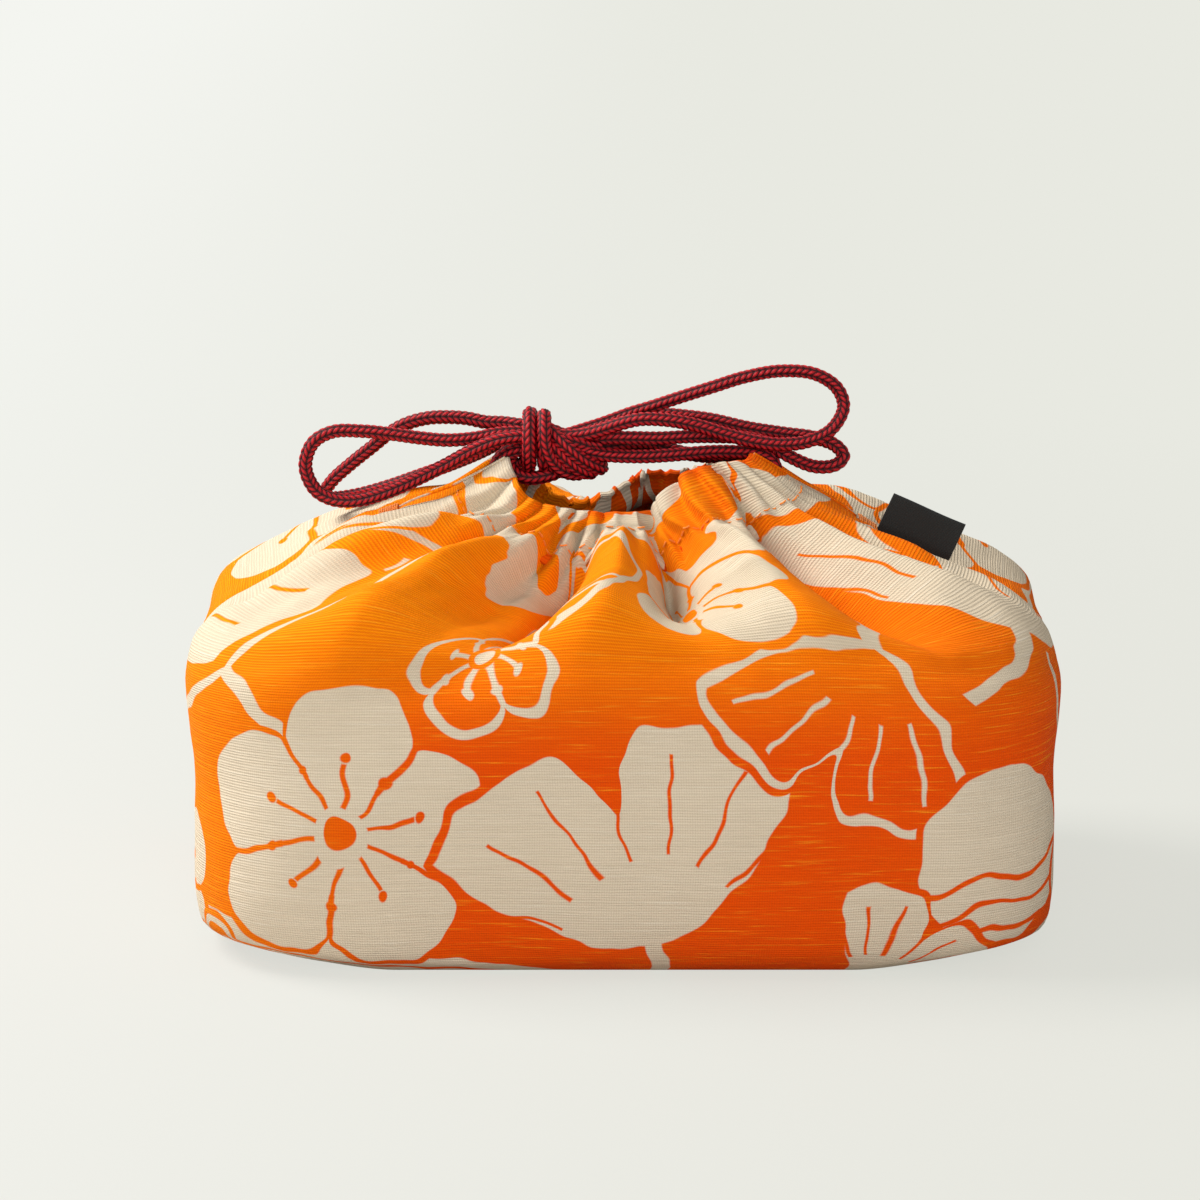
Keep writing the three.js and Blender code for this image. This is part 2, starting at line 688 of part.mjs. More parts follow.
// A drawcord's run: out of its own slit's front casing, round the far slit inside the mouth,
// and back through the back casing to its own slit.
function casingRunPoints(ownSide, down) {
  const depth = CLOTH + (CORD + CORD_PLAY) / 2;
  const station = belowRim(down);
  const points = [];
  const along = (panel, from, to) => {
    for (let k = 0; k <= RUN_POINTS; k++) {
      points.push(clothPoint(panel, mix(from, to, k / RUN_POINTS), station, depth));
    }
  };
  along(FRONT, ownSide * RUN_END, -ownSide * RUN_END);
  const ring = ringAt(station);
  const turnX = -ownSide * (ring.width - depth) + ring.shift;
  points.push(new THREE.Vector3(turnX, 0, ring.seamHeight - depth / 2));
  along(BACK, -ownSide * RUN_END, ownSide * RUN_END);
  return points;
}

const vectors = (rows) => rows.map(([x, y, z]) => new THREE.Vector3(x, y, z));

// Routes of the free stretches of cord, chosen by hand: four loops, each out of the knot and
// back to it, and four leads, each out of a slit and up to the knot.
const routes = {
  left_upper_loop: [
    [-25.1, 1.2, 121.1],
    [-29.6, 2.6, 121.5],
    [-34.1, 3.2, 121.6],
    [-38.8, 4, 122.4],
    [-43.5, 4.6, 122.6],
    [-48.5, 5, 122.3],
    [-53.5, 5.6, 120.9],
    [-57.8, 6, 118.6],
    [-62.6, 6.6, 114.7],
    [-68.2, 7.2, 110.1],
    [-72.6, 8, 106],
    [-74.8, 10, 102.3],
    [-73.2, 14, 100.2],
    [-67.4, 17, 100.3],
    [-59.5, 17.4, 102.4],
    [-51.5, 16.4, 105.4],
    [-43.5, 13.6, 108.8],
    [-35.4, 9.2, 113],
    [-29.4, 5.4, 116.8],
    [-25.1, 3.6, 118.3],
  ],
  left_lower_loop: [
    [-25.1, -1.7, 119.8],
    [-30.5, -1.8, 119.7],
    [-36.7, -2.2, 118.6],
    [-43.3, -2.8, 118.2],
    [-50.2, -3, 118.8],
    [-57.4, -3, 119.8],
    [-64.5, -3, 120.5],
    [-71.9, -3, 120.3],
    [-76.7, -3.2, 117.5],
    [-78.6, -3.6, 111.7],
    [-76.3, -4, 106.1],
    [-72.1, -4.6, 103.7],
    [-66.4, -5, 103.4],
    [-59.7, -5.2, 105.1],
    [-52.3, -5.2, 108.2],
    [-44.1, -5.2, 112.3],
    [-36.6, -5, 116.4],
    [-31, -4.9, 118.6],
    [-25.1, -4.8, 119],
  ],
  right_upper_loop: [
    [-4.9, 0.6, 121.9],
    [1.7, 1.4, 124.2],
    [6.9, 1.4, 125.8],
    [14.1, 1.4, 128.2],
    [22, 1.6, 130.7],
    [30.1, 2.4, 133.1],
    [38.8, 3, 134.5],
    [47.5, 3.2, 133.7],
    [53, 3, 130.2],
    [54.6, 1.8, 125.6],
    [51.5, -0.4, 120.4],
    [45.7, -2.2, 117.8],
    [39.5, -3.2, 117.2],
    [32.5, -3.8, 118],
    [25.3, -4.2, 119.9],
    [17.7, -4.6, 122.3],
    [11, -4.9, 123.6],
    [4.3, -4.8, 123.8],
    [-0.6, -4.2, 122.6],
    [-4.9, -3.5, 121],
  ],
  right_lower_loop: [
    [-4.9, 3.4, 119.4],
    [-0.6, 4.8, 121.2],
    [4.2, 5.2, 122.6],
    [9.6, 5.4, 123.1],
    [15.6, 5.2, 122.7],
    [22.1, 4.8, 121.9],
    [31, 4, 120],
    [40, 3.4, 118.7],
    [47.7, 2.8, 117.7],
    [52.9, 2, 115.8],
    [54.7, 1, 113.3],
    [52.6, 0, 111.4],
    [47.6, 0, 111],
    [41.4, 0.4, 113.4],
    [36, 1, 116.6],
    [30.2, 1.2, 118],
    [23.5, 0.8, 118.4],
    [16.3, 0.2, 118.5],
    [9.1, -0.2, 118.2],
    [1.7, -0.2, 118.3],
    [-4.9, -0.2, 118.2],
  ],
  left_front_lead: [
    [-31.8, -5.5, 109],
    [-31.9, -4.4, 109.5],
    [-31.7, -3, 110.7],
    [-30.7, -2.2, 112.7],
    [-29.2, -2.2, 114.2],
    [-27.4, -2.4, 115.2],
    [-25.5, -2.6, 115.5],
  ],
  left_back_lead: [
    [-31.8, 5.5, 109],
    [-31.9, 4.4, 109.5],
    [-31.7, 3, 110.7],
    [-30.7, 1.9, 112.7],
    [-29.2, 1.5, 114.2],
    [-27.4, 1.1, 115.2],
    [-25.5, 0.8, 115.6],
  ],
  right_front_lead: [
    [38.8, -4.6, 106.6],
    [38.7, -3.8, 106.8],
    [38.2, -2.6, 107],
    [37.8, -1.8, 107.9],
    [37.8, -1.65, 109.5],
    [37.6, -1.65, 111.2],
    [36.2, -1.7, 113.1],
    [32.6, -1.9, 114.7],
    [27.5, -2.5, 115.2],
    [22, -3, 115.3],
    [17, -3.3, 115],
    [11.1, -3.5, 114.5],
    [4.1, -3.6, 114.2],
    [-4.9, -3.4, 114.4],
  ],
  right_back_lead: [
    [38.8, 4.6, 106.6],
    [38.7, 3.8, 106.8],
    [38.2, 2.6, 107],
    [37.8, 1.8, 107.9],
    [37.8, 1.65, 109.5],
    [37.6, 1.65, 111.2],
    [36.2, 1.8, 113.1],
    [32, 2.8, 114.1],
    [26.5, 4.6, 112.8],
    [21.5, 6, 112.4],
    [16.5, 7, 112.8],
    [11.5, 7.4, 114],
    [6.5, 6.8, 115.4],
    [1.2, 4.8, 115.8],
    [-4.9, 2.6, 115.4],
  ],
};

function freeCord(name, points) {
  const step = name.endsWith('lead') ? LEAD_STEP : CORD_STEP;
  return cordSolid(vectors(points), CORD, step, CORD_SIDES);
}

// Solid joins
function toSolid(geometry) {
  const bare = geometry.clone();
  bare.deleteAttribute('normal');
  bare.deleteAttribute('uv');
  const merged = mergeVertices(bare, WELD);
  const vertProperties = new Float32Array(merged.attributes.position.array);
  const triVerts = new Uint32Array(merged.index.array);
  return new wasm.Manifold(new wasm.Mesh({ numProp: 3, vertProperties, triVerts }));
}

function fromSolid(solid) {
  const mesh = solid.getMesh();
  const geometry = new THREE.BufferGeometry();
  geometry.setAttribute('position', new THREE.BufferAttribute(mesh.vertProperties, 3));
  geometry.setIndex(new THREE.BufferAttribute(mesh.triVerts, 1));
  return geometry;
}

// A strand across the knot's front, from the knot's centre
const strandRoute = [
  [-2, -4, 4.4],
  [3, -4.6, 1.8],
  [8, -3.8, -2.2],
];

// The knot: a packed middle, two wraps round it and a pair of strands across its front
function knotSolid() {
  const [x, y, z] = KNOT_CENTRE;
  const half = KNOT_LENGTH / 2;
  const profile = [
    new THREE.Vector2(0, -half),
    new THREE.Vector2(KNOT_RADIUS - KNOT_ROUND, -half),
    new THREE.Vector2(KNOT_RADIUS, KNOT_ROUND - half),
    new THREE.Vector2(KNOT_RADIUS, half - KNOT_ROUND),
    new THREE.Vector2(KNOT_RADIUS - KNOT_ROUND, half),
    new THREE.Vector2(0, half),
  ];
  const core = new THREE.LatheGeometry(profile, KNOT_SIDES);
  core.rotateZ(-Math.PI / 2);
  core.translate(x, y, z);
  let knot = toSolid(core);
  for (const place of WRAP_PLACES) {
    const wrap = new THREE.TorusGeometry(WRAP_RADIUS, CORD / 2, CORD_SIDES, KNOT_SIDES);
    wrap.rotateY(Math.PI / 2);
    wrap.scale(1, 1, WRAP_HEIGHT);
    wrap.translate(x + place, y, z + WRAP_RAISE);
    knot = knot.add(toSolid(wrap));
  }
  for (let k = 0; k < STRAND_COUNT; k++) {
    const strand = vectors(strandRoute).map((point) => point.add(new THREE.Vector3(x, y, z - k * CORD)));
    knot = knot.add(toSolid(cordSolid(strand, CORD, LEAD_STEP, CORD_SIDES)));
  }
  return fromSolid(knot);
}

// A bar of close stitches across the foot of a slit, laid on the seam ridge
function bartackMesh(name, side) {
  const foot = smoothPoint(FRONT, side, belowRim(SLIT_DEPTH + BARTACK_WIDTH));
  const higher = smoothPoint(FRONT, side, belowRim(SLIT_DEPTH));
  const slope = Math.atan2(higher.z - foot.z, higher.x - foot.x);
  const bar = new THREE.BoxGeometry(BARTACK_WIDTH, BARTACK_LENGTH, BARTACK_THICKNESS);
  const mesh = add(name, bar, 'thread');
  const away = GAP + BARTACK_THICKNESS / 2;
  const turn = side === LEFT ? slope : slope - Math.PI;
  mesh.position.set(foot.x - away * Math.sin(turn), 0, foot.z + away * Math.cos(turn));
  mesh.rotation.y = -turn;
}

// The right side seam's ridge at a given X, found by halving the station
function seamPointAtX(x) {
  let low = SHOULDER;
  let high = RIM;
  for (let k = 0; k < HALVINGS; k++) {
    const middle = (low + high) / 2;
    if (smoothPoint(FRONT, RIGHT, middle).x > x) {
      low = middle;
    } else {
      high = middle;
    }
  }
  const point = smoothPoint(FRONT, RIGHT, low);
  point.y = 0;
  return point;
}

// A folded label sewn into the right side seam, standing square to it
function labelMesh() {
  const inner = seamPointAtX(LABEL_X - LABEL_WIDTH / 2);
  const outer = seamPointAtX(LABEL_X + LABEL_WIDTH / 2);
  const along = outer.clone().sub(inner).normalize();
  const up = new THREE.Vector3(-along.z, 0, along.x);
  const middle = inner.add(outer).multiplyScalar(0.5);
  const centre = middle.addScaledVector(up, LABEL_HEIGHT / 2 + 2 * GAP);
  const slab = new THREE.BoxGeometry(LABEL_WIDTH, LABEL_THICKNESS, LABEL_HEIGHT);
  const mesh = add('side_label', slab, 'label');
  mesh.position.copy(centre);
  mesh.rotation.y = -Math.atan2(along.z, along.x);
}

add('front_panel', panelSolid(FRONT), 'cloth');
add('back_panel', panelSolid(BACK), 'cloth');
add('front_casing', casingSolid(FRONT), 'hem');
add('back_casing', casingSolid(BACK), 'hem');
add('left_side_seam', sideSeamSolid(LEFT), 'seam');
add('right_side_seam', sideSeamSolid(RIGHT), 'seam');
add('bottom_seam', bottomSeamSolid(), 'seam').position.set(0, 0, seamLevel);
add('left_gusset_seam', gussetSeamSolid(), 'seam').position.set(-gussetX, 0, seamLevel);
add('right_gusset_seam', gussetSeamSolid(), 'seam').position.set(gussetX, 0, seamLevel);
add('left_front_slit_hem', slitHemSolid(FRONT, LEFT), 'hem');
add('left_back_slit_hem', slitHemSolid(BACK, LEFT), 'hem');
add('right_front_slit_hem', slitHemSolid(FRONT, RIGHT), 'hem');
add('right_back_slit_hem', slitHemSolid(BACK, RIGHT), 'hem');
add('front_casing_stitching', casingStitchSolid(FRONT), 'thread');
add('back_casing_stitching', casingStitchSolid(BACK), 'thread');

const runLeft = casingRunPoints(LEFT, UPPER_RUN);
const runRight = casingRunPoints(RIGHT, LOWER_RUN);
add('left_drawcord_run', cordSolid(runLeft, CORD, RUN_STEP, CORD_SIDES), 'cord');
add('right_drawcord_run', cordSolid(runRight, CORD, RUN_STEP, CORD_SIDES), 'cord');

for (const [name, points] of Object.entries(routes)) {
  add(name, freeCord(name, points), 'cord');
}
add('bow_knot', knotSolid(), 'cord');
bartackMesh('left_bartack', LEFT);
bartackMesh('right_bartack', RIGHT);
labelMesh();

export default bag;
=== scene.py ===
# %% [markdown]
# # A drawstring lunch bag
# A boxed bag of printed slub cotton stands filled on a pale table. Its mouth is gathered by
# two braided cords, which are tied in a bow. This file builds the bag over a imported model
# that fixes every size and joint, and each cell explains one piece or finish of the real bag.

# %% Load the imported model
import math

import bmesh
import bpy
import numpy as np
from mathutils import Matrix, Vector, noise


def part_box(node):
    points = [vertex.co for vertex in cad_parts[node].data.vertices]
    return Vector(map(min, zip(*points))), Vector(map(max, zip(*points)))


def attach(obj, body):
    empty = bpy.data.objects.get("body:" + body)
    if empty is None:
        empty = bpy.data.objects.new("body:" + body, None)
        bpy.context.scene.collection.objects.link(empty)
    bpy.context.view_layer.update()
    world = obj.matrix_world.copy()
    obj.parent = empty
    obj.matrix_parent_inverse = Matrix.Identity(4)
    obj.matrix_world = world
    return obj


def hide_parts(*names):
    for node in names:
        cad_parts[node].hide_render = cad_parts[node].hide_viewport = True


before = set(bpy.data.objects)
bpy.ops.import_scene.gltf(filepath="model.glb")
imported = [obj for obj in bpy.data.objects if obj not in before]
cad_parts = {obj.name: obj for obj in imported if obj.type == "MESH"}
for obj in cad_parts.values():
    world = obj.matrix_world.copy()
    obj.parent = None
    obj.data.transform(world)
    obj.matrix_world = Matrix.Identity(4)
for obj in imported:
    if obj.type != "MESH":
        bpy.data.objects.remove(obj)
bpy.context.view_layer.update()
MM = 0.001

# %% [markdown]
# ## The camera
# The photographer stood well back and looked slightly down, so lines stay nearly parallel.
# A long lens a metre away gives the same view. The camera looks along +Y at the bag's middle.

# %% Camera
CAMERA_TILT = math.radians(13)
CAMERA_DISTANCE = 1.05
LENS_LENGTH, FILM_WIDTH = 126, 36
AIM = Vector((-0.00575, 0.0, 0.077))

lens = bpy.data.cameras.new("camera")
lens.lens = LENS_LENGTH
lens.sensor_width = FILM_WIDTH
camera = bpy.data.objects.new("camera", lens)
bpy.context.scene.collection.objects.link(camera)
back_off = Vector((0, -math.cos(CAMERA_TILT), math.sin(CAMERA_TILT))) * CAMERA_DISTANCE
camera.location = AIM + back_off
camera.rotation_euler = (math.pi / 2 - CAMERA_TILT, 0, 0)
bpy.context.scene.camera = camera
print("camera at", [round(v, 3) for v in camera.location])

# %% [markdown]
# ## Curves and meshes
# A few small helpers serve the whole file. A centripetal Catmull-Rom curve passes through
# given points without loops between them, and can be cut into even steps. A grid of
# points becomes a sheet of quads, with a UV map that says where each point lay on the flat
# cloth or along the cord. Points are in millimetres until the mesh is made.

# %% Curve through points
CURVE_SAMPLES = 1500


def curve_through(points):
    """Return a function from a share, 0 to 1, to a point on a smooth curve."""
    pts = np.array(points, float)
    last = len(pts) - 1

    def at(share):
        place = last * share
        k = min(int(place), last - 1)
        w = place - k
        p1, p2 = pts[k], pts[k + 1]
        p0 = pts[k - 1] if k > 0 else 2 * p1 - p2
        p3 = pts[k + 2] if k + 1 < last else 2 * p2 - p1
        d0, d1, d2 = (np.sum((a - b) ** 2) ** 0.25 for a, b in ((p0, p1), (p1, p2), (p2, p3)))
        t1 = ((p1 - p0) / d0 - (p2 - p0) / (d0 + d1) + (p2 - p1) / d1) * d1
        t2 = ((p2 - p1) / d1 - (p3 - p1) / (d1 + d2) + (p3 - p2) / d2) * d1
        bend = (2 * p1 - 2 * p2 + t1 + t2) * w ** 3
        return p1 + t1 * w + (3 * p2 - 3 * p1 - 2 * t1 - t2) * w ** 2 + bend

    return at


def evenly_along(points, spacing):
    """Points at an even spacing along the smooth curve through the given points."""
    curve = curve_through(points)
    dense = np.array([curve(k / CURVE_SAMPLES) for k in range(CURVE_SAMPLES + 1)])
    travelled = np.concatenate([[0], np.cumsum(np.linalg.norm(np.diff(dense, axis=0), axis=1))])
    count = max(int(round(travelled[-1] / spacing)), 4)
    wanted = np.linspace(0, travelled[-1], count + 1)
    return np.stack([np.interp(wanted, travelled, dense[:, k]) for k in range(3)], 1)


print("steps of 1 mm round a corner:", len(evenly_along([(0, 0, 0), (10, 0, 0), (10, 10, 0)], 1)) - 1)


# %% Sheet of quads from a grid
def sheet_mesh(name, grid, uv=None, around=False, capped=False):
    """A mesh object from rows of points, with a UV for each point. Sizes are in millimetres."""
    rows, columns = grid.shape[:2]
    wrap = columns if around else columns - 1
    faces = []
    for r in range(rows - 1):
        for c in range(wrap):
            d = (c + 1) % columns
            here, above = r * columns, (r + 1) * columns
            faces.append((here + c, here + d, above + d, above + c))
    quads = len(faces)
    if capped:
        faces.append(tuple(range(columns))[::-1])
        faces.append(tuple((rows - 1) * columns + c for c in range(columns)))
    mesh = bpy.data.meshes.new(name)
    mesh.from_pydata((grid.reshape(-1, 3) * MM).tolist(), [], faces)
    if uv is not None:
        layer = mesh.uv_layers.new(name="flat")
        loops = np.zeros((len(mesh.loops), 2))
        for k in range(quads):
            r, c = divmod(k, wrap)
            ends = [(r, c), (r, c + 1), (r + 1, c + 1), (r + 1, c)]
            for j, (row, column) in enumerate(ends):
                loops[4 * k + j] = uv(row, column)
        layer.data.foreach_set("uv", loops.ravel())
    mesh.polygons.foreach_set("use_smooth", [True] * len(mesh.polygons))
    piece = bpy.data.objects.new(name, mesh)
    bpy.context.scene.collection.objects.link(piece)
    return piece


def face_outwards(piece):
    """Turn a closed mesh's faces to point out."""
    bm = bmesh.new()
    bm.from_mesh(piece.data)
    bmesh.ops.recalc_face_normals(bm, faces=bm.faces)
    bm.to_mesh(piece.data)
    bm.free()


# %% [markdown]
# ## Shader maths
# A material here is an expression. The Wire class holds one output socket of a node tree, and
# arithmetic on wires adds Math nodes, so a pattern reads like the formula that it is.
# Every other kind of node comes from the one method `node`.

# %% Wires between shader nodes
class Wire:
    """One output socket of a node tree, with arithmetic."""

    def __init__(self, tree, socket=None):
        self.tree = tree
        self.socket = socket

    def node(self, kind, settings, inputs, output=0):
        """Add a node: its settings first, then values or wires for its inputs."""
        new = self.tree.nodes.new(kind)
        for name, value in settings.items():
            setattr(new, name, value)
        for key, value in inputs.items():
            if isinstance(value, Wire):
                self.tree.links.new(value.socket, new.inputs[key])
            else:
                new.inputs[key].default_value = value
        return Wire(self.tree, new.outputs[output])

    def math(self, operation, *values):
        return self.node("ShaderNodeMath", {"operation": operation}, dict(enumerate(values)))

    def __add__(self, other):
        return self.math("ADD", self, other)

    def __sub__(self, other):
        return self.math("SUBTRACT", self, other)

    def __rsub__(self, other):
        return self.math("SUBTRACT", other, self)

    def __mul__(self, other):
        return self.math("MULTIPLY", self, other)

    def __truediv__(self, other):
        return self.math("DIVIDE", self, other)

    def __pow__(self, other):
        return self.math("POWER", self, other)

    def __abs__(self):
        return self.math("ABSOLUTE", self)

    __radd__ = __add__
    __rmul__ = __mul__

    def sin(self):
        return self.math("SINE", self)

    def cos(self):
        return self.math("COSINE", self)

    def root(self):
        return self.math("SQRT", self)

    def part(self):
        return self.math("FRACT", self)

    def least(self, other):
        return self.math("MINIMUM", self, other)

    def most(self, other):
        return self.math("MAXIMUM", self, other)

    def step(self, low, high):
        """0 below low, 1 above high, and smooth between."""
        limits = {"Value": self, "From Min": low, "From Max": high}
        return self.node("ShaderNodeMapRange", {"interpolation_type": "SMOOTHSTEP"}, limits)

    def mix(self, low, high):
        """A colour between two colours, by this wire."""
        settings = {"data_type": "RGBA"}
        return self.node("ShaderNodeMix", settings, {0: self, 6: low, 7: high}, 2)


def colour(red, green, blue):
    """A linear colour from the 0 to 255 values that a screen shows."""
    def linear(v):
        v /= 255
        return v / 12.92 if v <= 0.04045 else ((v + 0.055) / 1.055) ** 2.4
    return (linear(red), linear(green), linear(blue), 1)


def new_material(name, roughness, sheen=0.0, sheen_tint=(1, 1, 1, 1)):
    """A cloth-like material. Returns it, its shader node and a wire to start from."""
    material = bpy.data.materials.new(name)
    material.use_nodes = True
    shader = material.node_tree.nodes["Principled BSDF"]
    shader.inputs["Roughness"].default_value = roughness
    shader.inputs["Specular IOR Level"].default_value = 0.25
    shader.inputs["Sheen Weight"].default_value = sheen
    shader.inputs["Sheen Roughness"].default_value = 0.45
    shader.inputs["Sheen Tint"].default_value = sheen_tint
    return material, shader, Wire(material.node_tree)


def uv_in_mm(wire):
    """The flat cloth's two coordinates in millimetres."""
    uv = wire.node("ShaderNodeUVMap", {"uv_map": "flat"}, {})
    apart = {"Vector": uv}
    across = wire.node("ShaderNodeSeparateXYZ", {}, apart, "X") * 1000
    up = wire.node("ShaderNodeSeparateXYZ", {}, apart, "Y") * 1000
    return across, up


def connect(shader, socket, wire):
    wire.tree.links.new(wire.socket, shader.inputs[socket])


def raised(wire, height, distance, strength=1.0):
    """A bumped normal from a height."""
    inputs = {"Height": height, "Distance": distance, "Strength": strength}
    return wire.node("ShaderNodeBump", {}, inputs)


# %% [markdown]
# ## The braided cord
# The cord is a round braid: six strands wind each way and each passes over two and under
# two, which leaves columns of small slanted plaits. The relief is cut into the tube's mesh,
# because it shows in the outline. Fine yarn lines on each plait come from the material, which
# also paints a highlight on each plait's crown and shade in the grooves between plaits.

# %% Cord finish
CORD = 3.0  # the cord's plain diameter
FULLNESS = 3.6  # across the highest points of the plaits
RELIEF = 0.58  # from there down into the grooves
STRANDS = 6  # wound each way
LEAD = 9.3  # length in which a strand goes once round
YARNS = 5  # side by side in a plait
RING_STEP = 0.26
RING_SIDES = 36
END_ROUND = 0.6


def cord_material():
    material, shader, wire = new_material("burgundy braid", 0.5)
    shader.inputs["Specular IOR Level"].default_value = 0.2
    around, along = uv_in_mm(wire)
    turn = around / 1000  # the braid's map holds a share of a turn here, not a length
    left_lay = (turn + along / LEAD) * STRANDS
    right_lay = (turn - along / LEAD) * STRANDS
    column = ((left_lay + right_lay) / 4).part()
    on_right = column.step(0.49, 0.51)
    lay = right_lay + (left_lay - right_lay) * (1 - on_right)
    yarn = (lay * (2 * math.pi * YARNS)).sin() * 0.5 + 0.5
    lengthwise = ((left_lay + right_lay) / 4).part() * 2
    from_middle = abs((lengthwise.part() - 0.5) * 2)
    edge = abs((lay.part() - 0.5) * 2)
    crown = (1 - edge * edge) * (1 - from_middle * from_middle)
    point = wire.node("ShaderNodeTexCoord", {}, {}, "Object")
    worn = wire.node("ShaderNodeTexNoise", {}, {"Vector": point, "Scale": 10000.0, "Detail": 2.0})
    # Painted highlight: each plait's crown is painted brighter, with the yarn lines and some wear mixed in.
    painted_glint_yarn_and_wear = crown * crown * 0.8 + yarn * 0.3 + worn * 0.2 - 0.2
    plait = painted_glint_yarn_and_wear.mix(colour(82, 2, 10), colour(210, 30, 40))
    # Painted shade: the grooves between the plaits are painted nearly black.
    connect(shader, "Base Color", crown.step(0.03, 0.55).mix(colour(34, 1, 6), plait))
    connect(shader, "Normal", raised(wire, yarn, 0.00006, 0.7))
    return material


braid_finish = cord_material()
print("cord finish:", braid_finish.name)


# %% Braided tube
def across_frames(path):
    """Two directions square to a path at each point, carried along it without twist."""
    along = np.gradient(path, axis=0)
    along /= np.linalg.norm(along, axis=1)[:, None]
    first = np.cross(along[0], (0.0, 0.3, 1.0))
    first /= np.linalg.norm(first)
    sides = [first]
    for tangent in along[1:]:
        side = sides[-1] - tangent * np.dot(sides[-1], tangent)
        sides.append(side / np.linalg.norm(side))
    sides = np.array(sides)
    return sides, np.cross(along, sides)


def braid_relief(turn, along):
    """Height of the braid's surface, 0 in a groove to 1 on a plait."""
    left_lay = STRANDS * (turn + along / LEAD)
    right_lay = STRANDS * (turn - along / LEAD)
    place = np.mod(left_lay + right_lay, 4.0)
    on_left = place < 2.0
    lay = np.where(on_left, left_lay, right_lay)
    lengthwise = np.where(on_left, place - 1.0, place - 3.0)
    sideways = 2 * np.mod(lay, 1.0) - 1.0
    return np.sqrt(np.maximum(1 - sideways ** 2, 0)) * (1 - 0.65 * lengthwise ** 2)


def braided_tube(name, points, diameter=FULLNESS, relief=RELIEF):
    """A closed braided tube along given points, with its centre line."""
    path = evenly_along(points, RING_STEP)
    travelled = np.arange(len(path)) * np.linalg.norm(path[1] - path[0])
    side, lift = across_frames(path)
    turns = np.arange(RING_SIDES) / RING_SIDES
    turn, along = np.meshgrid(turns, travelled)
    radius = diameter / 2 - relief * (1 - braid_relief(turn, along))
    ends = np.minimum(travelled, travelled[-1] - travelled)
    radius *= np.sqrt(np.clip(1 - (1 - np.minimum(ends / END_ROUND, 1)) ** 2, 0.05, 1))[:, None]
    angle = 2 * np.pi * turn
    grid = path[:, None, :] + radius[..., None] * (
        np.cos(angle)[..., None] * side[:, None, :] + np.sin(angle)[..., None] * lift[:, None, :])

    def round_and_along(ring, column):
        return column / RING_SIDES, travelled[ring] * MM

    piece = sheet_mesh(name, grid, round_and_along, around=True, capped=True)
    face_outwards(piece)
    piece.data.materials.append(braid_finish)
    return piece, path


def joined(name, pieces):
    """Several mesh objects as one."""
    merged = bmesh.new()
    for piece in pieces:
        merged.from_mesh(piece.data)
    mesh = bpy.data.meshes.new(name)
    merged.to_mesh(mesh)
    merged.free()
    for material in pieces[0].data.materials:
        mesh.materials.append(material)
    for piece in pieces:
        bpy.data.objects.remove(piece)
    whole = bpy.data.objects.new(name, mesh)
    bpy.context.scene.collection.objects.link(whole)
    return whole


# %% [markdown]
# ## The bow's four cords
# Each cord comes out of a slit, passes through the knot and makes a loop on the far side,
# as a shoelace does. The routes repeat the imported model's points, and the stretch inside
# the knot joins a lead to its loop in one easy line.

# %% Routes of the loops
left_upper_loop = [
    (-29.6, 2.6, 121.5), (-34.1, 3.2, 121.6), (-38.8, 4, 122.4), (-43.5, 4.6, 122.6),
    (-48.5, 5, 122.3), (-53.5, 5.6, 120.9), (-57.8, 6, 118.6), (-62.6, 6.6, 114.7),
    (-68.2, 7.2, 110.1), (-72.6, 8, 106), (-74.8, 10, 102.3), (-73.2, 14, 100.2),
    (-67.4, 17, 100.3), (-59.5, 17.4, 102.4), (-51.5, 16.4, 105.4), (-43.5, 13.6, 108.8),
    (-35.4, 9.2, 113), (-29.4, 5.4, 116.8), (-25.1, 3.6, 118.3), (-21, 2.2, 118.6),
]
left_lower_loop = [
    (-30.5, -1.8, 119.7), (-36.7, -2.2, 118.6), (-43.3, -2.8, 118.2), (-50.2, -3, 118.8),
    (-57.4, -3, 119.8), (-64.5, -3, 120.5), (-71.9, -3, 120.3), (-76.7, -3.2, 117.5),
    (-78.6, -3.6, 111.7), (-76.3, -4, 106.1), (-72.1, -4.6, 103.7), (-66.4, -5, 103.4),
    (-59.7, -5.2, 105.1), (-52.3, -5.2, 108.2), (-44.1, -5.2, 112.3), (-36.6, -5, 116.4),
    (-31, -4.9, 118.6), (-25.1, -4.4, 119.4), (-21, -3.6, 119.4),
]
right_upper_loop = [
    (-4.9, 0.6, 121.9), (1.7, 1.4, 124.2), (6.9, 1.4, 125.8), (14.1, 1.4, 128.2),
    (22, 1.6, 130.7), (30.1, 2.4, 133.1), (38.8, 3, 134.5), (47.5, 3.2, 133.7),
    (53, 3, 130.2), (54.6, 1.8, 125.6), (51.5, -0.4, 120.4), (45.7, -2.2, 117.8),
    (39.5, -3.2, 117.2), (32.5, -3.8, 118), (25.3, -4.2, 119.9), (17.7, -4.6, 122.3),
    (11, -4.9, 123.6), (4.3, -4.8, 123.8), (-0.6, -4.2, 122.6), (-4.9, -3.5, 121),
    (-10, -3.2, 119.6), (-16, -2.6, 119),
]
right_lower_loop = [
    (-4.9, 3.4, 119.4), (-0.6, 4.8, 121.2), (4.2, 5.2, 122.6), (9.6, 5.4, 123.1),
    (15.6, 5.2, 122.7), (22.1, 4.8, 121.9), (31, 4, 120), (40, 3.4, 118.7),
    (47.7, 2.8, 117.7), (52.9, 2, 115.8), (54.7, 1, 113.3), (52.6, 0, 111.4),
    (47.6, 0, 111), (41.4, 0.4, 113.4), (36, 1, 116.6), (30.2, 1.2, 118),
    (23.5, 0.8, 118.4), (16.3, 0.2, 118.5), (9.1, -0.2, 118.2), (1.7, -0.2, 118.3),
    (-4.9, -0.2, 118.2), (-10, -0.4, 117.4), (-16, -0.6, 117),
]
loop_routes = (left_upper_loop, left_lower_loop, right_upper_loop, right_lower_loop)
print("points in the loops:", [len(route) for route in loop_routes])

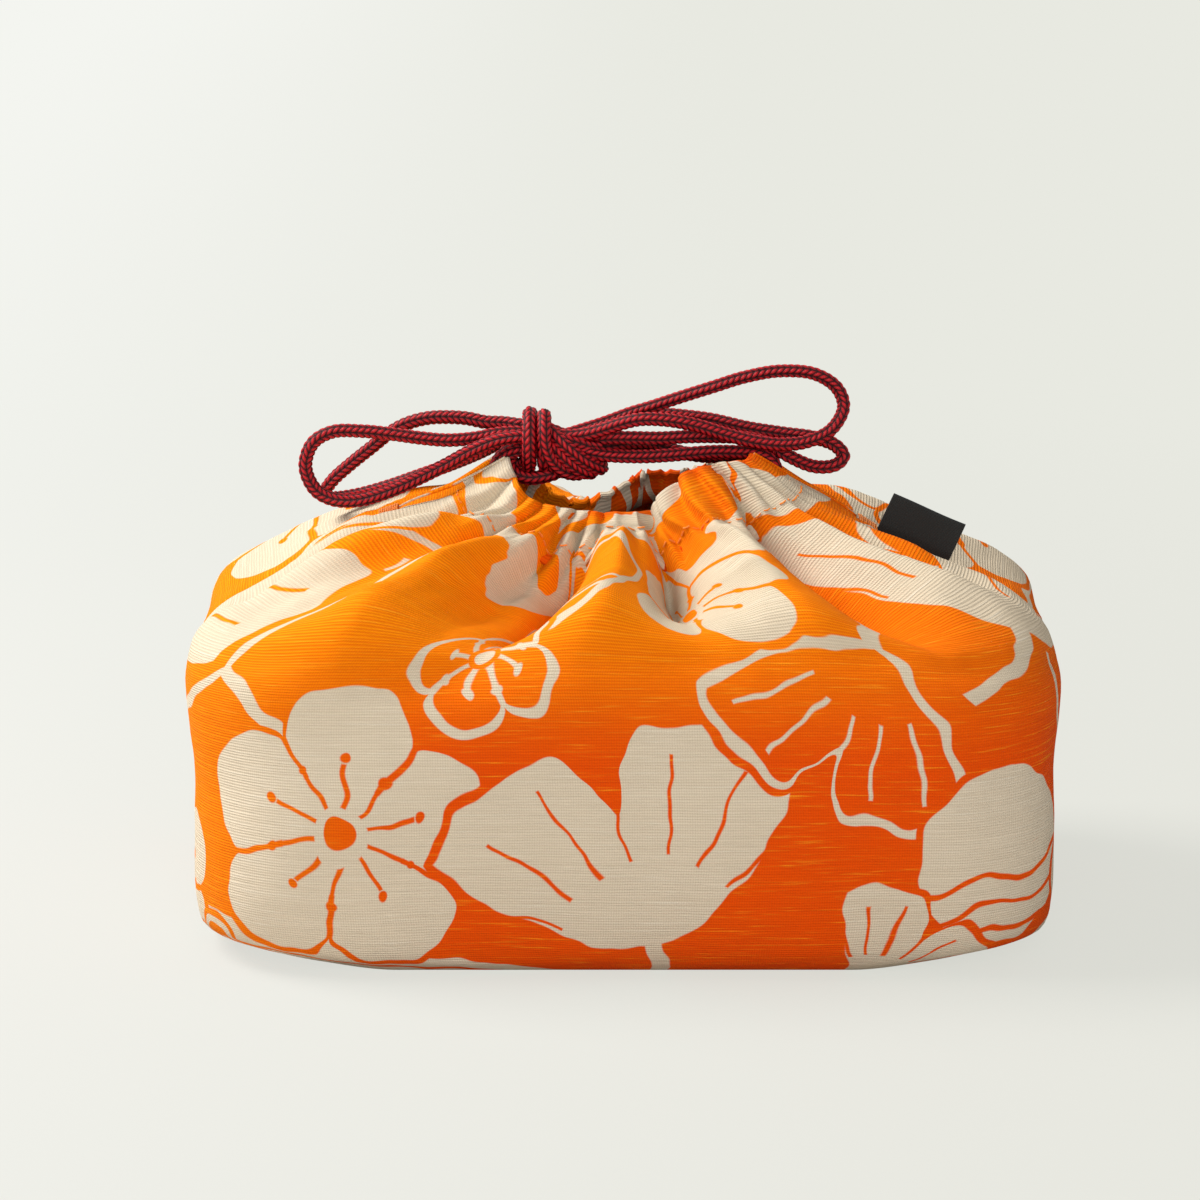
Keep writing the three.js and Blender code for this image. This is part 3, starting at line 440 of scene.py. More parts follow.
# %% Routes of the leads
left_front_lead = [
    (-31.8, -5.5, 109), (-31.9, -4.4, 109.5), (-31.7, -3, 110.7), (-30.7, -2.2, 112.7),
    (-29.2, -2.2, 114.2), (-27.4, -2.4, 115.2), (-24, -2.6, 116),
]
left_back_lead = [
    (-31.8, 5.5, 109), (-31.9, 4.4, 109.5), (-31.7, 3, 110.7), (-30.7, 1.9, 112.7),
    (-29.2, 1.5, 114.2), (-27.4, 1.1, 115.2), (-24, 0.8, 115.9),
]
right_front_lead = [
    (38.8, -4.6, 106.6), (38.7, -3.8, 106.8), (38.2, -2.6, 107), (37.8, -1.8, 107.9),
    (37.8, -1.65, 109.5), (37.6, -1.65, 111.2), (36.2, -1.7, 113.1), (32.6, -1.9, 114.7),
    (27.5, -2.5, 115.2), (22, -3, 115.3), (17, -3.3, 115), (11.1, -3.5, 114.5),
    (4.1, -3.6, 114.2), (-4.9, -3.4, 114.6),
]
right_back_lead = [
    (38.8, 4.6, 106.6), (38.7, 3.8, 106.8), (38.2, 2.6, 107), (37.8, 1.8, 107.9),
    (37.8, 1.65, 109.5), (37.6, 1.65, 111.2), (36.2, 1.8, 113.1), (32, 2.8, 114.1),
    (26.5, 4.6, 112.8), (21.5, 6, 112.4), (16.5, 7, 112.8), (11.5, 7.4, 114),
    (6.5, 6.8, 115.4), (1.2, 4.8, 115.8), (-4.9, 2.6, 115.6),
]
lead_routes = (left_front_lead, left_back_lead, right_front_lead, right_back_lead)
print("points in the leads:", [len(route) for route in lead_routes])

# %% Free cords, each a lead, a stretch in the knot and a loop
routes = {
    "cord_to_right_upper_loop": [
        *left_front_lead, (-17, -1.6, 118.4), (-10, -0.2, 120.4), *right_upper_loop],
    "cord_to_right_lower_loop": [
        *left_back_lead, (-17, 1.6, 117.2), (-10, 2.4, 118.2), *right_lower_loop],
    "cord_to_left_lower_loop": [
        *right_front_lead, (-12, -3, 116), (-19, -2.2, 118.6), (-25.1, -1.7, 119.8), *left_lower_loop],
    "cord_to_left_upper_loop": [
        *right_back_lead, (-12, 2, 117.4), (-19, 1.6, 120.2), (-25.1, 1.4, 121.1), *left_upper_loop],
}
replaced = {
    "cord_to_right_upper_loop": ("left_front_lead", "right_upper_loop"),
    "cord_to_right_lower_loop": ("left_back_lead", "right_lower_loop"),
    "cord_to_left_lower_loop": ("right_front_lead", "left_lower_loop"),
    "cord_to_left_upper_loop": ("right_back_lead", "left_upper_loop"),
}

bow_cords = {}
for name, points in routes.items():
    cord, path = braided_tube(name, points)
    length = (len(path) - 1) * np.linalg.norm(path[1] - path[0])
    bow_cords[name] = (cord, path, length)
    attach(cord, "bow")
    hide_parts(*replaced[name])
    print(name, round(length), "mm", len(cord.data.vertices), "points")

# %% [markdown]
# ## The knot
# The knot is cord too: two turns wound round the bundle, and strands that cross its front
# and tuck in under it. Five short braided tubes on their own routes give that, because a
# moulded lump would never show the braid turning.

# %% Routes of the knot's strands
KNOT_CORD = 3.7
KNOT_Y, KNOT_Z = -1.0, 118.0
TURN_DEPTH, TURN_HEIGHT = 5.9, 6.6
FIRST_TURN_X, NEXT_TURN = -23.2, 3.7

wound = [(-24.4, 1.6, 115.4), (-24.2, 0.4, 112.6)]
for degrees in range(20, 530, 30):
    behind = min(max((degrees - 170) / 190, 0), 1)
    x = FIRST_TURN_X + NEXT_TURN * behind * behind * (3 - 2 * behind)
    y = KNOT_Y - TURN_DEPTH * math.sin(math.radians(degrees))
    z = KNOT_Z - TURN_HEIGHT * math.cos(math.radians(degrees))
    wound.append((x, y, z))
wound[-3:] = [(-19.5, -2.6, 124.6), (-19.5, -6.1, 121.6), (-19.4, -7.2, 118.4)]
wound += [
    (-18.8, -7.2, 115.6), (-17.2, -6.4, 112.9), (-14.8, -5.2, 110.9), (-12, -3.6, 109.9),
    (-9.4, -1.8, 110), (-8.2, 0.4, 111.2),
]
crossing = [
    (-19.2, -2.4, 121.6), (-17.4, -4.6, 120.2), (-15.2, -6.3, 118.2), (-12.6, -6.9, 116),
    (-10, -6.4, 113.9), (-7.4, -5.1, 112.2), (-5.6, -3, 111.2), (-5.4, -0.6, 111.2),
    (-7, 1.2, 112.6),
]
tucked = [
    (-18.4, -3.6, 118.4), (-16.6, -5.8, 116.6), (-14.2, -6.7, 114.3), (-11.6, -6.1, 112),
    (-9.2, -4.6, 110.5), (-7.6, -2.4, 110.2), (-7.8, -0.2, 111.2),
]
under = [
    (-13.5, -2.4, 112.2), (-16.5, -3.2, 110.2), (-20, -3.8, 109.2), (-23.4, -3.8, 108.9),
    (-26, -3.2, 109.6), (-27.6, -1.6, 111.4), (-26.4, 0, 113),
]
packed_in = [
    (-22.6, -2.2, 119.4), (-19, -3.4, 119), (-15.6, -3.6, 118.6), (-12, -3.4, 117.8),
    (-8.6, -2.6, 116.6), (-5.4, -1.4, 116),
]
knot_routes = (wound, crossing, tucked, under, packed_in)
strands = [braided_tube("strand", route, KNOT_CORD)[0] for route in knot_routes]
knot = joined("tied_knot", strands)
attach(knot, "bow")
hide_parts("bow_knot")
print("knot:", len(knot.data.polygons), "faces")

for name, (cord, path, length) in bow_cords.items():
    path[0] * MM
    length * MM
    path[::3] * MM
    print(name, "declared at", round(length, 1), "mm")

# %% [markdown]
# ## The filled bag's surface
# The cloth is laid over one smooth body: rings of rounded rectangles from the base to the
# mouth. A place across a panel goes from -1 at the left seam to 1 at the right, and a
# station goes from -1 at the seam under the base, over 0 at its edge, to 6 at the rim.

# %% Rings of the body
BASE, RIM = 0, 6
FRONT, BACK = -1, 1
SEAM_GAP = 0.15
SLIT_OPENING = 12.0
SLIT_DEPTH = 21.0
BOTTOM_SEAM_END = 6  # from the base's end to the end of the seam line
SEAM_SHARPNESS = 2.2  # how quickly the cloth falls away from the side seam's ridge
CORNER_LIFT, CORNER_PLACE, CORNER_REACH, CORNER_FADE = 4, 0.62, 0.25, 10
# Each side seam's sag in millimetres, and the stations up to which it is whole and by which it is gone
LEFT_SAG, RIGHT_SAG = (6.5, 3.4, 4.1), (5.3, 4.0, 5.0)
SAG_START, SAG_WHOLE = 2.5, 3.0
RIM_SAG_START = 4.4

# Half width, half depth and height at the middle of the front, for each whole station
body_outline = curve_through([
    (97, 61, 0), (103.2, 66, 5), (103.8, 71, 42), (103.8, 65, 79), (73, 45, 90), (44, 26, 97.5),
    (31, 15.5, 107)])
# Corner radius, height at the side seam and shift to the right, for each whole station
body_seam = curve_through([
    (24, 0, 0), (27, 5, 0), (32, 42, 0), (34, 79, 0), (32, 95, 0.75), (21, 106.5, 1.5),
    (12.5, 114.5, 1.5)])
NECK_TO_RIM = math.hypot((52 - 31) / 2, 107 - 97.5)


def ease(value, low, high):
    """0 below low, 1 above high, and smooth between."""
    share = np.clip((np.asarray(value, float) - low) / (high - low), 0, 1)
    return share * share * (3 - 2 * share)


def ring_length(station):
    """Half of the body's girth at a station, from seam to seam."""
    width, depth, _ = body_outline(min(max(station, 0), RIM) / RIM)
    corner = body_seam(min(max(station, 0), RIM) / RIM)[0]
    return 2 * (depth + width - 2 * corner) + math.pi * corner


print("half girth at the belly:", round(ring_length(2)), "mm, at the rim:", round(ring_length(RIM)), "mm")


# %% Rows of the body
BACK_SAG, BACK_RISE = 8.0, 2.5
FRONT_SAG, FRONT_RISE = 5.0, 5.0


def rim_level(panel, places):
    """How far the gathered rim hangs below its level line. The front stands up at the right."""
    if panel == BACK:
        hanging = BACK_SAG * np.exp(-((places + 0.42) / 0.33) ** 2)
        return hanging - BACK_RISE * np.exp(-((places - 0.06) / 0.16) ** 2)
    hanging = FRONT_SAG * ease(places, -1, -0.7) * (1 - ease(places, 0.05, 0.4))
    standing = FRONT_RISE * ease(places, 0.15, 0.5) * (1 - 0.8 * ease(places, 0.6, 1))
    return hanging - standing


def body_row(panel, places, station):
    """Points of the smooth body across a panel, at one station."""
    share = min(max(station, 0), RIM) / RIM
    width, depth, height = body_outline(share)
    corner, seam_height, shift = body_seam(share)
    length = ring_length(station)
    open_share = float(ease(station, RIM - SLIT_DEPTH / NECK_TO_RIM, RIM))
    inset = SEAM_GAP + (SLIT_OPENING / 2 - SEAM_GAP) * open_share
    distance = inset + (length - 2 * inset) * (places + 1) / 2
    near = np.minimum(distance, length - distance)
    side = np.where(distance < length / 2, -1.0, 1.0)
    end = depth - corner
    arc = math.pi / 2 * corner
    turn = np.clip((near - end) / corner, 0, math.pi / 2)
    round_x = width - corner + corner * np.cos(turn)
    flat_x = width - corner - (near - end - arc)
    x = side * np.where(near < end, width, np.where(near < end + arc, round_x, flat_x))
    y = np.where(near < end, near, np.where(near < end + arc, end + corner * np.sin(turn), depth))
    from_corner = (np.abs(places) - CORNER_PLACE) / CORNER_REACH
    lift = CORNER_LIFT * np.maximum(1 - from_corner ** 2, 0) ** 2
    if station < BASE:
        out = station + 1
        seam_x = places * (width - BOTTOM_SEAM_END)
        base_y = panel * (SEAM_GAP + (y - SEAM_GAP) * out)
        return np.stack([seam_x + (x - seam_x) * out, base_y, lift * out * out], 1)
    at_seam = np.abs(places) ** SEAM_SHARPNESS
    left, right = (
        most * float(ease(station, SAG_START, SAG_WHOLE)) * (1 - float(ease(station, kept, gone)))
        for most, kept, gone in (LEFT_SAG, RIGHT_SAG))
    sag = np.where(places < 0, left, right)
    z = max(height, 0) + (max(seam_height, 0) - sag - max(height, 0)) * at_seam
    z = z - float(ease(station, RIM_SAG_START, RIM)) * rim_level(panel, places)
    return np.stack([x + shift, panel * y, z + lift * np.exp(-z / CORNER_FADE)], 1)


slit_foot = RIM - SLIT_DEPTH / NECK_TO_RIM
print("left slit's foot:", [round(float(v), 1) for v in body_row(FRONT, np.array([-1.0]), slit_foot)[0]])


# %% [markdown]
# ## Folds
# Where the mouth is drawn in, the spare cloth stands in long soft ridges with deeper valleys
# between them. The main ones are listed, each as a line of station, place, height and
# half-width in millimetres. Small pleats and noise then fill in between.

# %% Main folds
front_folds = [
    [(6.0, -0.84, 1.0, 3), (5.2, -0.88, 2.6, 4.5), (4.3, -0.9, 3.2, 6), (3.6, -0.9, 2.4, 8),
     (2.9, -0.92, 0, 10)],
    [(6.0, -0.76, -0.8, 2.4), (4.85, -0.815, -3.2, 4), (4.0, -0.83, -3.2, 5.5), (3.3, -0.81, 0, 8)],
    [(6.0, -0.69, 1.6, 3), (5.3, -0.68, 3.4, 4.4), (4.7, -0.675, 4.6, 6), (4.0, -0.7, 4.4, 8),
     (3.3, -0.73, 2.2, 10), (2.8, -0.75, 0, 12)],
    [(6.0, -0.57, -1.2, 2.4), (5.0, -0.57, -3.4, 4), (4.2, -0.57, -2.6, 6), (3.5, -0.59, -1.0, 8),
     (3.1, -0.6, 0, 9)],
    [(6.0, -0.48, 1.2, 3), (5.0, -0.47, 4.2, 7), (4.2, -0.46, 5.6, 10), (3.6, -0.45, 5.2, 14),
     (3.0, -0.43, 2.8, 18), (2.4, -0.44, 0, 20)],
    [(5.8, -0.4, 0, 4), (5.2, -0.36, -3.4, 7), (4.5, -0.31, -5.0, 10), (3.9, -0.3, -4.6, 12),
     (3.3, -0.3, -2.0, 14), (2.9, -0.32, 0, 15)],
    [(6.0, -0.3, -1.6, 2.6), (5.4, -0.25, -5.0, 4), (4.8, -0.2, -8.6, 4.6), (4.17, -0.185, -9.6, 5.2),
     (3.68, -0.18, -8.6, 6), (3.3, -0.19, -5.6, 8), (3.0, -0.22, -2.8, 10), (2.6, -0.3, 0, 12)],
    [(6.0, -0.01, 6.4, 8), (5.2, -0.02, 9.2, 9), (4.5, -0.03, 4.2, 10), (3.8, -0.035, 4.8, 12),
     (3.25, -0.05, 4.6, 15), (2.8, -0.08, 2.6, 18), (2.3, -0.12, 0, 20)],
    [(6.0, 0.13, -2.0, 2.4), (5.45, 0.13, -5.4, 3.2), (4.73, 0.135, -9.0, 4.6), (4.2, 0.12, -9.0, 5.4),
     (3.85, 0.11, -6.4, 7), (3.45, 0.11, -2.2, 9), (3.0, 0.12, 0, 11)],
    [(6.0, 0.4, 1.6, 3.4), (5.3, 0.38, 4.6, 5.5), (4.67, 0.34, 6.4, 8), (4.0, 0.31, 6.4, 10.5),
     (3.3, 0.3, 4.2, 14), (2.7, 0.33, 0, 18)],
    [(6.0, 0.56, -1.2, 2.4), (5.4, 0.53, -3.6, 3.4), (4.5, 0.49, -6.8, 5.2), (3.75, 0.47, -6.4, 7),
     (3.35, 0.47, -4.0, 9), (2.9, 0.5, 0, 12)],
    [(6.0, 0.7, 1.4, 2.8), (5.0, 0.66, 4.0, 5), (4.2, 0.64, 5.2, 7.5), (3.68, 0.66, 4.2, 10),
     (3.0, 0.72, 0, 14)],
    [(6.0, 0.77, -0.8, 2.4), (4.7, 0.745, -3.4, 4), (4.0, 0.745, -3.0, 6), (3.5, 0.78, 0, 8)],
    [(6.0, 0.85, 0.8, 3), (4.7, 0.83, 2.8, 4.5), (4.1, 0.82, 3.2, 6.5), (3.6, 0.84, 2.2, 8),
     (3.0, 0.88, 0, 10)],
]
back_folds = [
    [(6.0, -0.76, 1.0, 3), (4.9, -0.8, 2.3, 5.5), (4.0, -0.8, 2.6, 8), (3.2, -0.82, 1.2, 10),
     (2.8, -0.83, 0, 12)],
    [(6.0, -0.6, -1.2, 2.4), (5.0, -0.56, -5.2, 4.4), (4.1, -0.52, -6.4, 6.5), (3.4, -0.5, -2.8, 9),
     (3.0, -0.5, 0, 10)],
    [(6.0, -0.36, 1.4, 3), (5.0, -0.33, 4.2, 7), (4.0, -0.31, 5.4, 11), (3.2, -0.32, 2.4, 15),
     (2.6, -0.33, 0, 18)],
    [(6.0, -0.1, -1.8, 2.4), (5.2, -0.07, -6.0, 4), (4.4, -0.03, -8.6, 5.5), (3.7, 0.0, -6.6, 8),
     (3.0, 0.03, 0, 11)],
    [(6.0, 0.06, -11, 8), (5.75, 0.06, -5, 8), (5.4, 0.05, 0, 8)],
    [(6.0, 0.2, 1.4, 3), (5.0, 0.21, 4.6, 8), (4.0, 0.22, 5.6, 12), (3.2, 0.24, 2.4, 16),
     (2.6, 0.25, 0, 18)],
    [(6.0, 0.45, -1.2, 2.4), (5.0, 0.46, -5.4, 4.4), (4.1, 0.47, -6.4, 6.5), (3.4, 0.48, -2.6, 9),
     (3.0, 0.5, 0, 10)],
    [(6.0, 0.64, 1.0, 3), (5.0, 0.66, 2.6, 5.5), (4.0, 0.66, 2.4, 8), (3.2, 0.66, 0, 10)],
    [(6.0, 0.83, 1.2, 3), (5.0, 0.83, 3.4, 5), (4.0, 0.83, 3.8, 8), (3.2, 0.84, 1.8, 10),
     (2.8, 0.85, 0, 12)],
]
RIDGE_SHAPE, VALLEY_SHAPE = 1.6, 1.3
SLOPE_FULLNESS = 0.7  # by this share more, the folds stand out on the slope
FRONT_FLATTENING, BACK_FLATTENING = 0.3, 0.55  # where the casing is sewn


def main_folds(panel, places, station):
    """Height of the listed folds across a panel."""
    half = ring_length(station) / 2
    height = np.zeros_like(places)
    for fold in front_folds if panel == FRONT else back_folds:
        stations, middles, heights, widths = (np.array(v, float)[::-1] for v in zip(*fold))
        if not stations[0] <= station <= stations[-1]:
            continue
        middle = np.interp(station, stations, middles)
        tall = np.interp(station, stations, heights)
        wide = np.interp(station, stations, widths)
        off = np.abs(places - middle) * half / wide
        height += tall * np.exp(-off ** (RIDGE_SHAPE if tall > 0 else VALLEY_SHAPE))
    fuller = 1 + SLOPE_FULLNESS * float(ease(station, 2.9, 3.4)) * (1 - float(ease(station, 4.6, 5.3)))
    flattening = FRONT_FLATTENING if panel == FRONT else BACK_FLATTENING
    flattened = 1 - flattening * float(ease(station, 4.5, 5.2))
    return height * fuller * flattened * (1 - np.abs(places) ** 8)


print("folds set by hand:", len(front_folds), "in front,", len(back_folds), "behind")


# %% Small pleats
def down_from_rim(station):
    """Millimetres down the cloth from the rim."""
    return (RIM - station) * NECK_TO_RIM


# Creases between the casing's close pleats: place at the rim, depth, length down the cloth
front_creases = [
    (-0.93, 0.9, 9), (-0.85, 2.6, 18), (-0.73, 2.2, 15), (-0.62, 3.2, 20), (-0.5, 2.6, 15), (-0.38, 3.6, 18),
    (-0.27, 2.4, 15), (-0.17, 4.2, 17), (0.13, 4.4, 19), (0.21, 2.6, 16), (0.33, 3.2, 16),
    (0.46, 2.4, 15), (0.58, 3.2, 19), (0.7, 2.2, 15), (0.82, 2.4, 16), (0.92, 1.6, 12),
]
back_creases = [
    (k / 7 + 0.04 * math.sin(5.1 * k), 2.2 + math.sin(2.3 * k), 15 + 3 * math.sin(3.7 * k))
    for k in range(-6, 7)]


def pleats(panel, places, station):
    """Close pleats that the cords draw in: round knuckles with sharp creases between them.

    The back's knuckles stand inwards, because they are seen through the mouth.
    """
    down = down_from_rim(station)
    half = ring_length(station) / 2
    height = np.zeros_like(places)
    for spot, deep, reach in front_creases if panel == FRONT else back_creases:
        drift = spot * (1 - 0.006 * down) + 0.01 * math.sin(down * 0.4 + 9 * spot)
        fade = 1 - float(ease(down, reach * 0.45, reach * 1.5))
        if fade > 0:
            off = np.abs(places - drift) * half
            if panel == BACK:
                shape = np.exp(-(off / 1.3) ** 2) - 0.45 * np.exp(-((off - 3.0) / 1.8) ** 2)
                height += deep * fade * shape
            else:
                shape = np.exp(-off / 1.1) - 0.6 * np.exp(-((off - 3.2) / 1.9) ** 2)
                height -= deep * fade * shape
    return height * (1 - np.abs(places) ** 14)


print("creases:", len(front_creases), "in front,", len(back_creases), "behind")


# %% Wrinkles, dents and puckers
# Creases over the edge of the box inside: place, station, depth, half width, height in stations
edge_dents = [
    (-0.3, 2.84, 1.6, 15, 0.13), (0.36, 3.02, 1.5, 11, 0.12), (0.52, 2.9, 1.9, 13, 0.12),
    (-0.55, 2.98, 1.3, 11, 0.12), (0.1, 2.95, 1.3, 12, 0.12), (0.74, 2.85, 1.4, 10, 0.14),
    (-0.82, 2.86, 1.4, 9, 0.14), (-0.06, 2.72, -0.9, 14, 0.14),
]


PUCKER, SEAM_DRAW = 0.35, 1.3


def wrinkles(panel, places, station):
    """Uneven cloth: slow swells on the wall and soft creases that run down the slope."""
    half = ring_length(station) / 2
    down = np.array([
        (noise.noise(Vector((p * half / 42, station * 1.1, 3.0 * panel))) * 1.3
         + noise.noise(Vector((p * half / 17, station * 2.3, 5.0 * panel))) * 0.45
         + noise.noise(Vector((p * half / 6, station * 6.5, 9.0 * panel))) * 0.14) for p in places])
    radial = np.array([
        (noise.noise(Vector((p * 9.5 + 1.5 * math.sin(station), station * 0.8, 2.0 * panel))) * 2.2
         + noise.noise(Vector((p * 21, station * 1.3, 4.0 * panel))) * 1.1) for p in places])
    sloping = float(ease(station, 2.9, 3.9)) * (1 - 0.75 * float(ease(station, 4.9, 5.7)))
    walls = float(ease(station, 0.2, 1.2)) * (1 - 0.6 * float(ease(station, 4.2, 5.4)))
    edge = 1 - np.abs(places) ** 12
    return (down * walls + radial * sloping) * edge


def dents(places, station):
    """Soft creases where the cloth turns over the edge of the box inside."""
    half = ring_length(station) / 2
    height = np.zeros_like(places)
    for place, level, deep, wide, tall in edge_dents:
        across, up = (places - place) * half / wide, (station - level) / tall
        height -= deep * np.exp(-across ** 2 - up ** 2)
    return height


def seam_pull(places, station):
    """The seam draws the cloth in beside it and puckers it a little."""
    half = ring_length(station) / 2
    from_seam = (1 - np.abs(places)) * half
    closed = float(ease(station, -0.9, 0.3)) * (1 - float(ease(down_from_rim(station), 24, 18)))
    pucker = PUCKER * np.sin(station * 26 + 2 * np.sin(station * 7)) * np.exp(-((from_seam - 3) / 3.5) ** 2)
    return closed * (pucker - SEAM_DRAW * np.exp(-(from_seam / 2.4) ** 2))


print("dents:", len(edge_dents))


# %% [markdown]
# ## The two cloth panels
# Each panel is one piece of cloth. It starts at the seam under the base, goes up the wall and
# over the slope, turns in over the rim and comes down inside as the casing's hem. A grid
# follows that path row by row, and a Solidify modifier gives it the cloth's thickness.

# %% Grid of a panel
COLUMNS = 264
BASE_ROWS = 11
rows_up = np.concatenate([
    np.linspace(-1, 0, BASE_ROWS)[:-1], np.linspace(0, 1, 7)[:-1], np.linspace(1, 3, 36)[:-1],
    np.linspace(3, 4, 22)[:-1], np.linspace(4, 5, 24)[:-1], np.linspace(5, 6, 26)])
places = np.linspace(-1, 1, COLUMNS + 1)
FLAT_HALF_WIDTH = 164.0
CREASE_LIMIT = 1.2  # how deep creases may go where the cord lies behind the cloth
print("grid of a panel:", len(rows_up), "rows of", len(places), "points")


def outward_directions(grid, panel):
    """Directions square to a grid of points, pointing out of the bag."""
    across = np.gradient(grid, axis=1)
    up = np.gradient(grid, axis=0)
    out = np.cross(across, up) * -panel
    return out / np.maximum(np.linalg.norm(out, axis=2), 1e-9)[..., None]


def fold_directions(out, station):
    """Which way folds stand out. Near the rim that is nearly level, so the rim stays even."""
    tilted = np.array(out)
    tilted[..., 2] *= 1 - 0.7 * ease(station, 4.9, 5.8)
    return tilted


def over_the_cord(fine):
    """In the casing, creases go no deeper than the cord inside lets them."""
    in_casing = ease(rows_up, 4.95, 5.15) * (1 - ease(rows_up, 5.85, 6))
    deepest = (-CREASE_LIMIT - 9 * (1 - in_casing))[:, None]
    return deepest + np.log1p(np.exp((fine - deepest) * 3)) / 3


def panel_surfaces(panel):
    """The body with its main folds, and the finished outside with all its detail."""
    smooth = np.stack([body_row(panel, places, s) for s in rows_up])
    out = outward_directions(smooth, panel)
    out[:BASE_ROWS] = (0, 0, -1)
    push = fold_directions(out, rows_up[:, None])
    main = np.stack([main_folds(panel, places, s) for s in rows_up])
    fine = over_the_cord(np.stack([
        pleats(panel, places, s) + wrinkles(panel, places, s) + seam_pull(places, s)
        + (dents(places, s) if panel == FRONT else 0) for s in rows_up]))
    on_base = ease(rows_up, -0.2, 0.6)[:, None]
    folded = smooth + push * main[..., None]
    outside = folded + push * (fine * on_base)[..., None]
    if panel == BACK:
        outside[..., 2] -= np.maximum(fine, 0) * ease(rows_up, 5.4, 6)[:, None]
    for surface in (folded, outside):
        surface[..., 1] = panel * np.maximum(panel * surface[..., 1], SEAM_GAP)
        surface[..., 2] = np.maximum(surface[..., 2], 0.0)
    return folded, outside, out, main + fine


def flat_places(outside, heights):
    """Where each point lay across the flat cloth: the spare cloth is hidden in the valleys."""
    step = np.linalg.norm(np.diff(outside, axis=1), axis=2)
    deep = np.clip(-(heights[:, 1:] + heights[:, :-1]) / 2 - 0.2, 0, None) + 0.12
    spare = np.maximum(2 * FLAT_HALF_WIDTH - step.sum(axis=1), 0)[:, None]
    laid = step + spare * deep / deep.sum(axis=1)[:, None]
    across = np.concatenate([np.zeros((len(outside), 1)), np.cumsum(laid, axis=1)], axis=1)
    across -= across[:, -1:] / 2
    for _ in range(3):
        across[1:-1] = (across[:-2] + 2 * across[1:-1] + across[2:]) / 4
    return across


# %% A panel with its hem
RIM_ROUND = 0.9  # radius of the turn at the rim
TURN_STEP, HEM_STEP = 0.5, 1.1  # of flat cloth from row to row, in the turn and in the hem
# The hem inside: millimetres down from the rim, and behind the outside. It goes round the cords.
HEM = [
    (0.9, 1.7), (1.8, 3.1), (2.8, 4.7), (4.0, 5.8), (5.6, 6.1), (7.4, 6.1), (9.2, 6.0), (10.8, 5.0),
    (12.0, 3.0), (12.8, 2.1), (13.8, 1.9), (14.6, 2.2),
]


def panel_piece(name, panel):
    """One panel from the seam under the base to its hem, with what later pieces need of it."""
    folded, outside, out, heights = panel_surfaces(panel)
    across = flat_places(outside, heights)
    climb = np.linalg.norm(np.diff(outside[:, COLUMNS // 3], axis=0), axis=1)
    up = np.concatenate([[0], np.cumsum(climb)])
    rows, laid, level = [*outside], [*across], [*up]
    rim, rim_out = outside[-1], out[-1]
    rise = rim - outside[-3]
    rise /= np.linalg.norm(rise, axis=1)[:, None]
    for degrees in (30, 65, 100, 135):
        turn = math.radians(degrees)
        rows.append(rim + RIM_ROUND * (rise * math.sin(turn) - rim_out * (1 - math.cos(turn))))
        laid.append(across[-1])
        level.append(level[-1] + TURN_STEP)
    stations = [RIM - drop / NECK_TO_RIM for drop, _ in HEM]
    for station, (drop, depth) in zip(stations, HEM):
        k = np.interp(station, rows_up, np.arange(len(rows_up)))
        low, share = int(k), k - int(k)
        blend = float(ease(drop, 0, 5))
        surface = (1 - blend) * outside + blend * folded
        here = surface[low] * (1 - share) + surface[min(low + 1, len(rows_up) - 1)] * share
        rows.append(here - out[low] * depth)
        laid.append(across[-1])
        level.append(level[-1] + HEM_STEP)
    grid, laid = np.array(rows), np.array(laid)
    grid[..., 1] = panel * np.maximum(panel * grid[..., 1], SEAM_GAP)
    if panel == BACK:
        grid, laid = grid[:, ::-1], laid[:, ::-1]

    def on_flat_cloth(row, column):
        return laid[row, column] * MM, level[row] * MM

    return sheet_mesh(name, grid, on_flat_cloth), outside, folded, out


panels = {}
for name, panel in (("front_cloth", FRONT), ("back_cloth", BACK)):
    panels[panel] = panel_piece(name, panel)
    print(name, len(panels[panel][0].data.polygons), "quads")

# %% [markdown]
# ## The printed cotton
# Slub cotton has uneven weft threads, so fine ribs run across it with thicker and thinner
# streaks. The print has two colours, deep orange and undyed cream. Its motifs are ginkgo
# leaves, plum blossoms, moons with water lines and flowing streams. Each is cut by hand from
# paper in such prints, so edges wander a little and a thin gap parts a shape from the next.
# A motif is a distance, in millimetres, from its edge inwards, so one formula gives the shape,
# the gap round it and its outline. The print uses no image, and it bends with the folds. The
# cloth finish paints some light and shade into the orange and cream.

# %% Ways of printing
REPEAT_ACROSS = 268.0
EDGE_BLUR = 0.22
PRINT_GAP = 2.2
OUTLINE_WIDTH = 2.4


def turned(across, up, centre, degrees):
    """Coordinates about a motif's centre, turned by some degrees. The motif repeats across."""
    cosine, sine = math.cos(math.radians(degrees)), math.sin(math.radians(degrees))
    dx = (((across - centre[0]) / REPEAT_ACROSS + 0.5).part() - 0.5) * REPEAT_ACROSS
    dy = up - centre[1]
    return dx * cosine + dy * sine, dy * cosine - dx * sine


def soft_edge(inside):
    """1 where a distance in millimetres is inside a shape and 0 outside, with a crisp edge."""
    return inside.step(-EDGE_BLUR, EDGE_BLUR)


def laid_over(mask, inside, lines):
    """A cream shape over what is printed already, an orange gap round it and orange lines in it."""
    return mask * (1 - soft_edge(inside + PRINT_GAP)) + soft_edge(inside) * (1 - lines)


def outlined(mask, inside, lines):
    """The same shape drawn in cream lines on orange."""
    ring = soft_edge(inside) * (1 - soft_edge(inside - OUTLINE_WIDTH))
    return mask * (1 - soft_edge(inside + PRINT_GAP)) + ring.most(lines * soft_edge(inside))


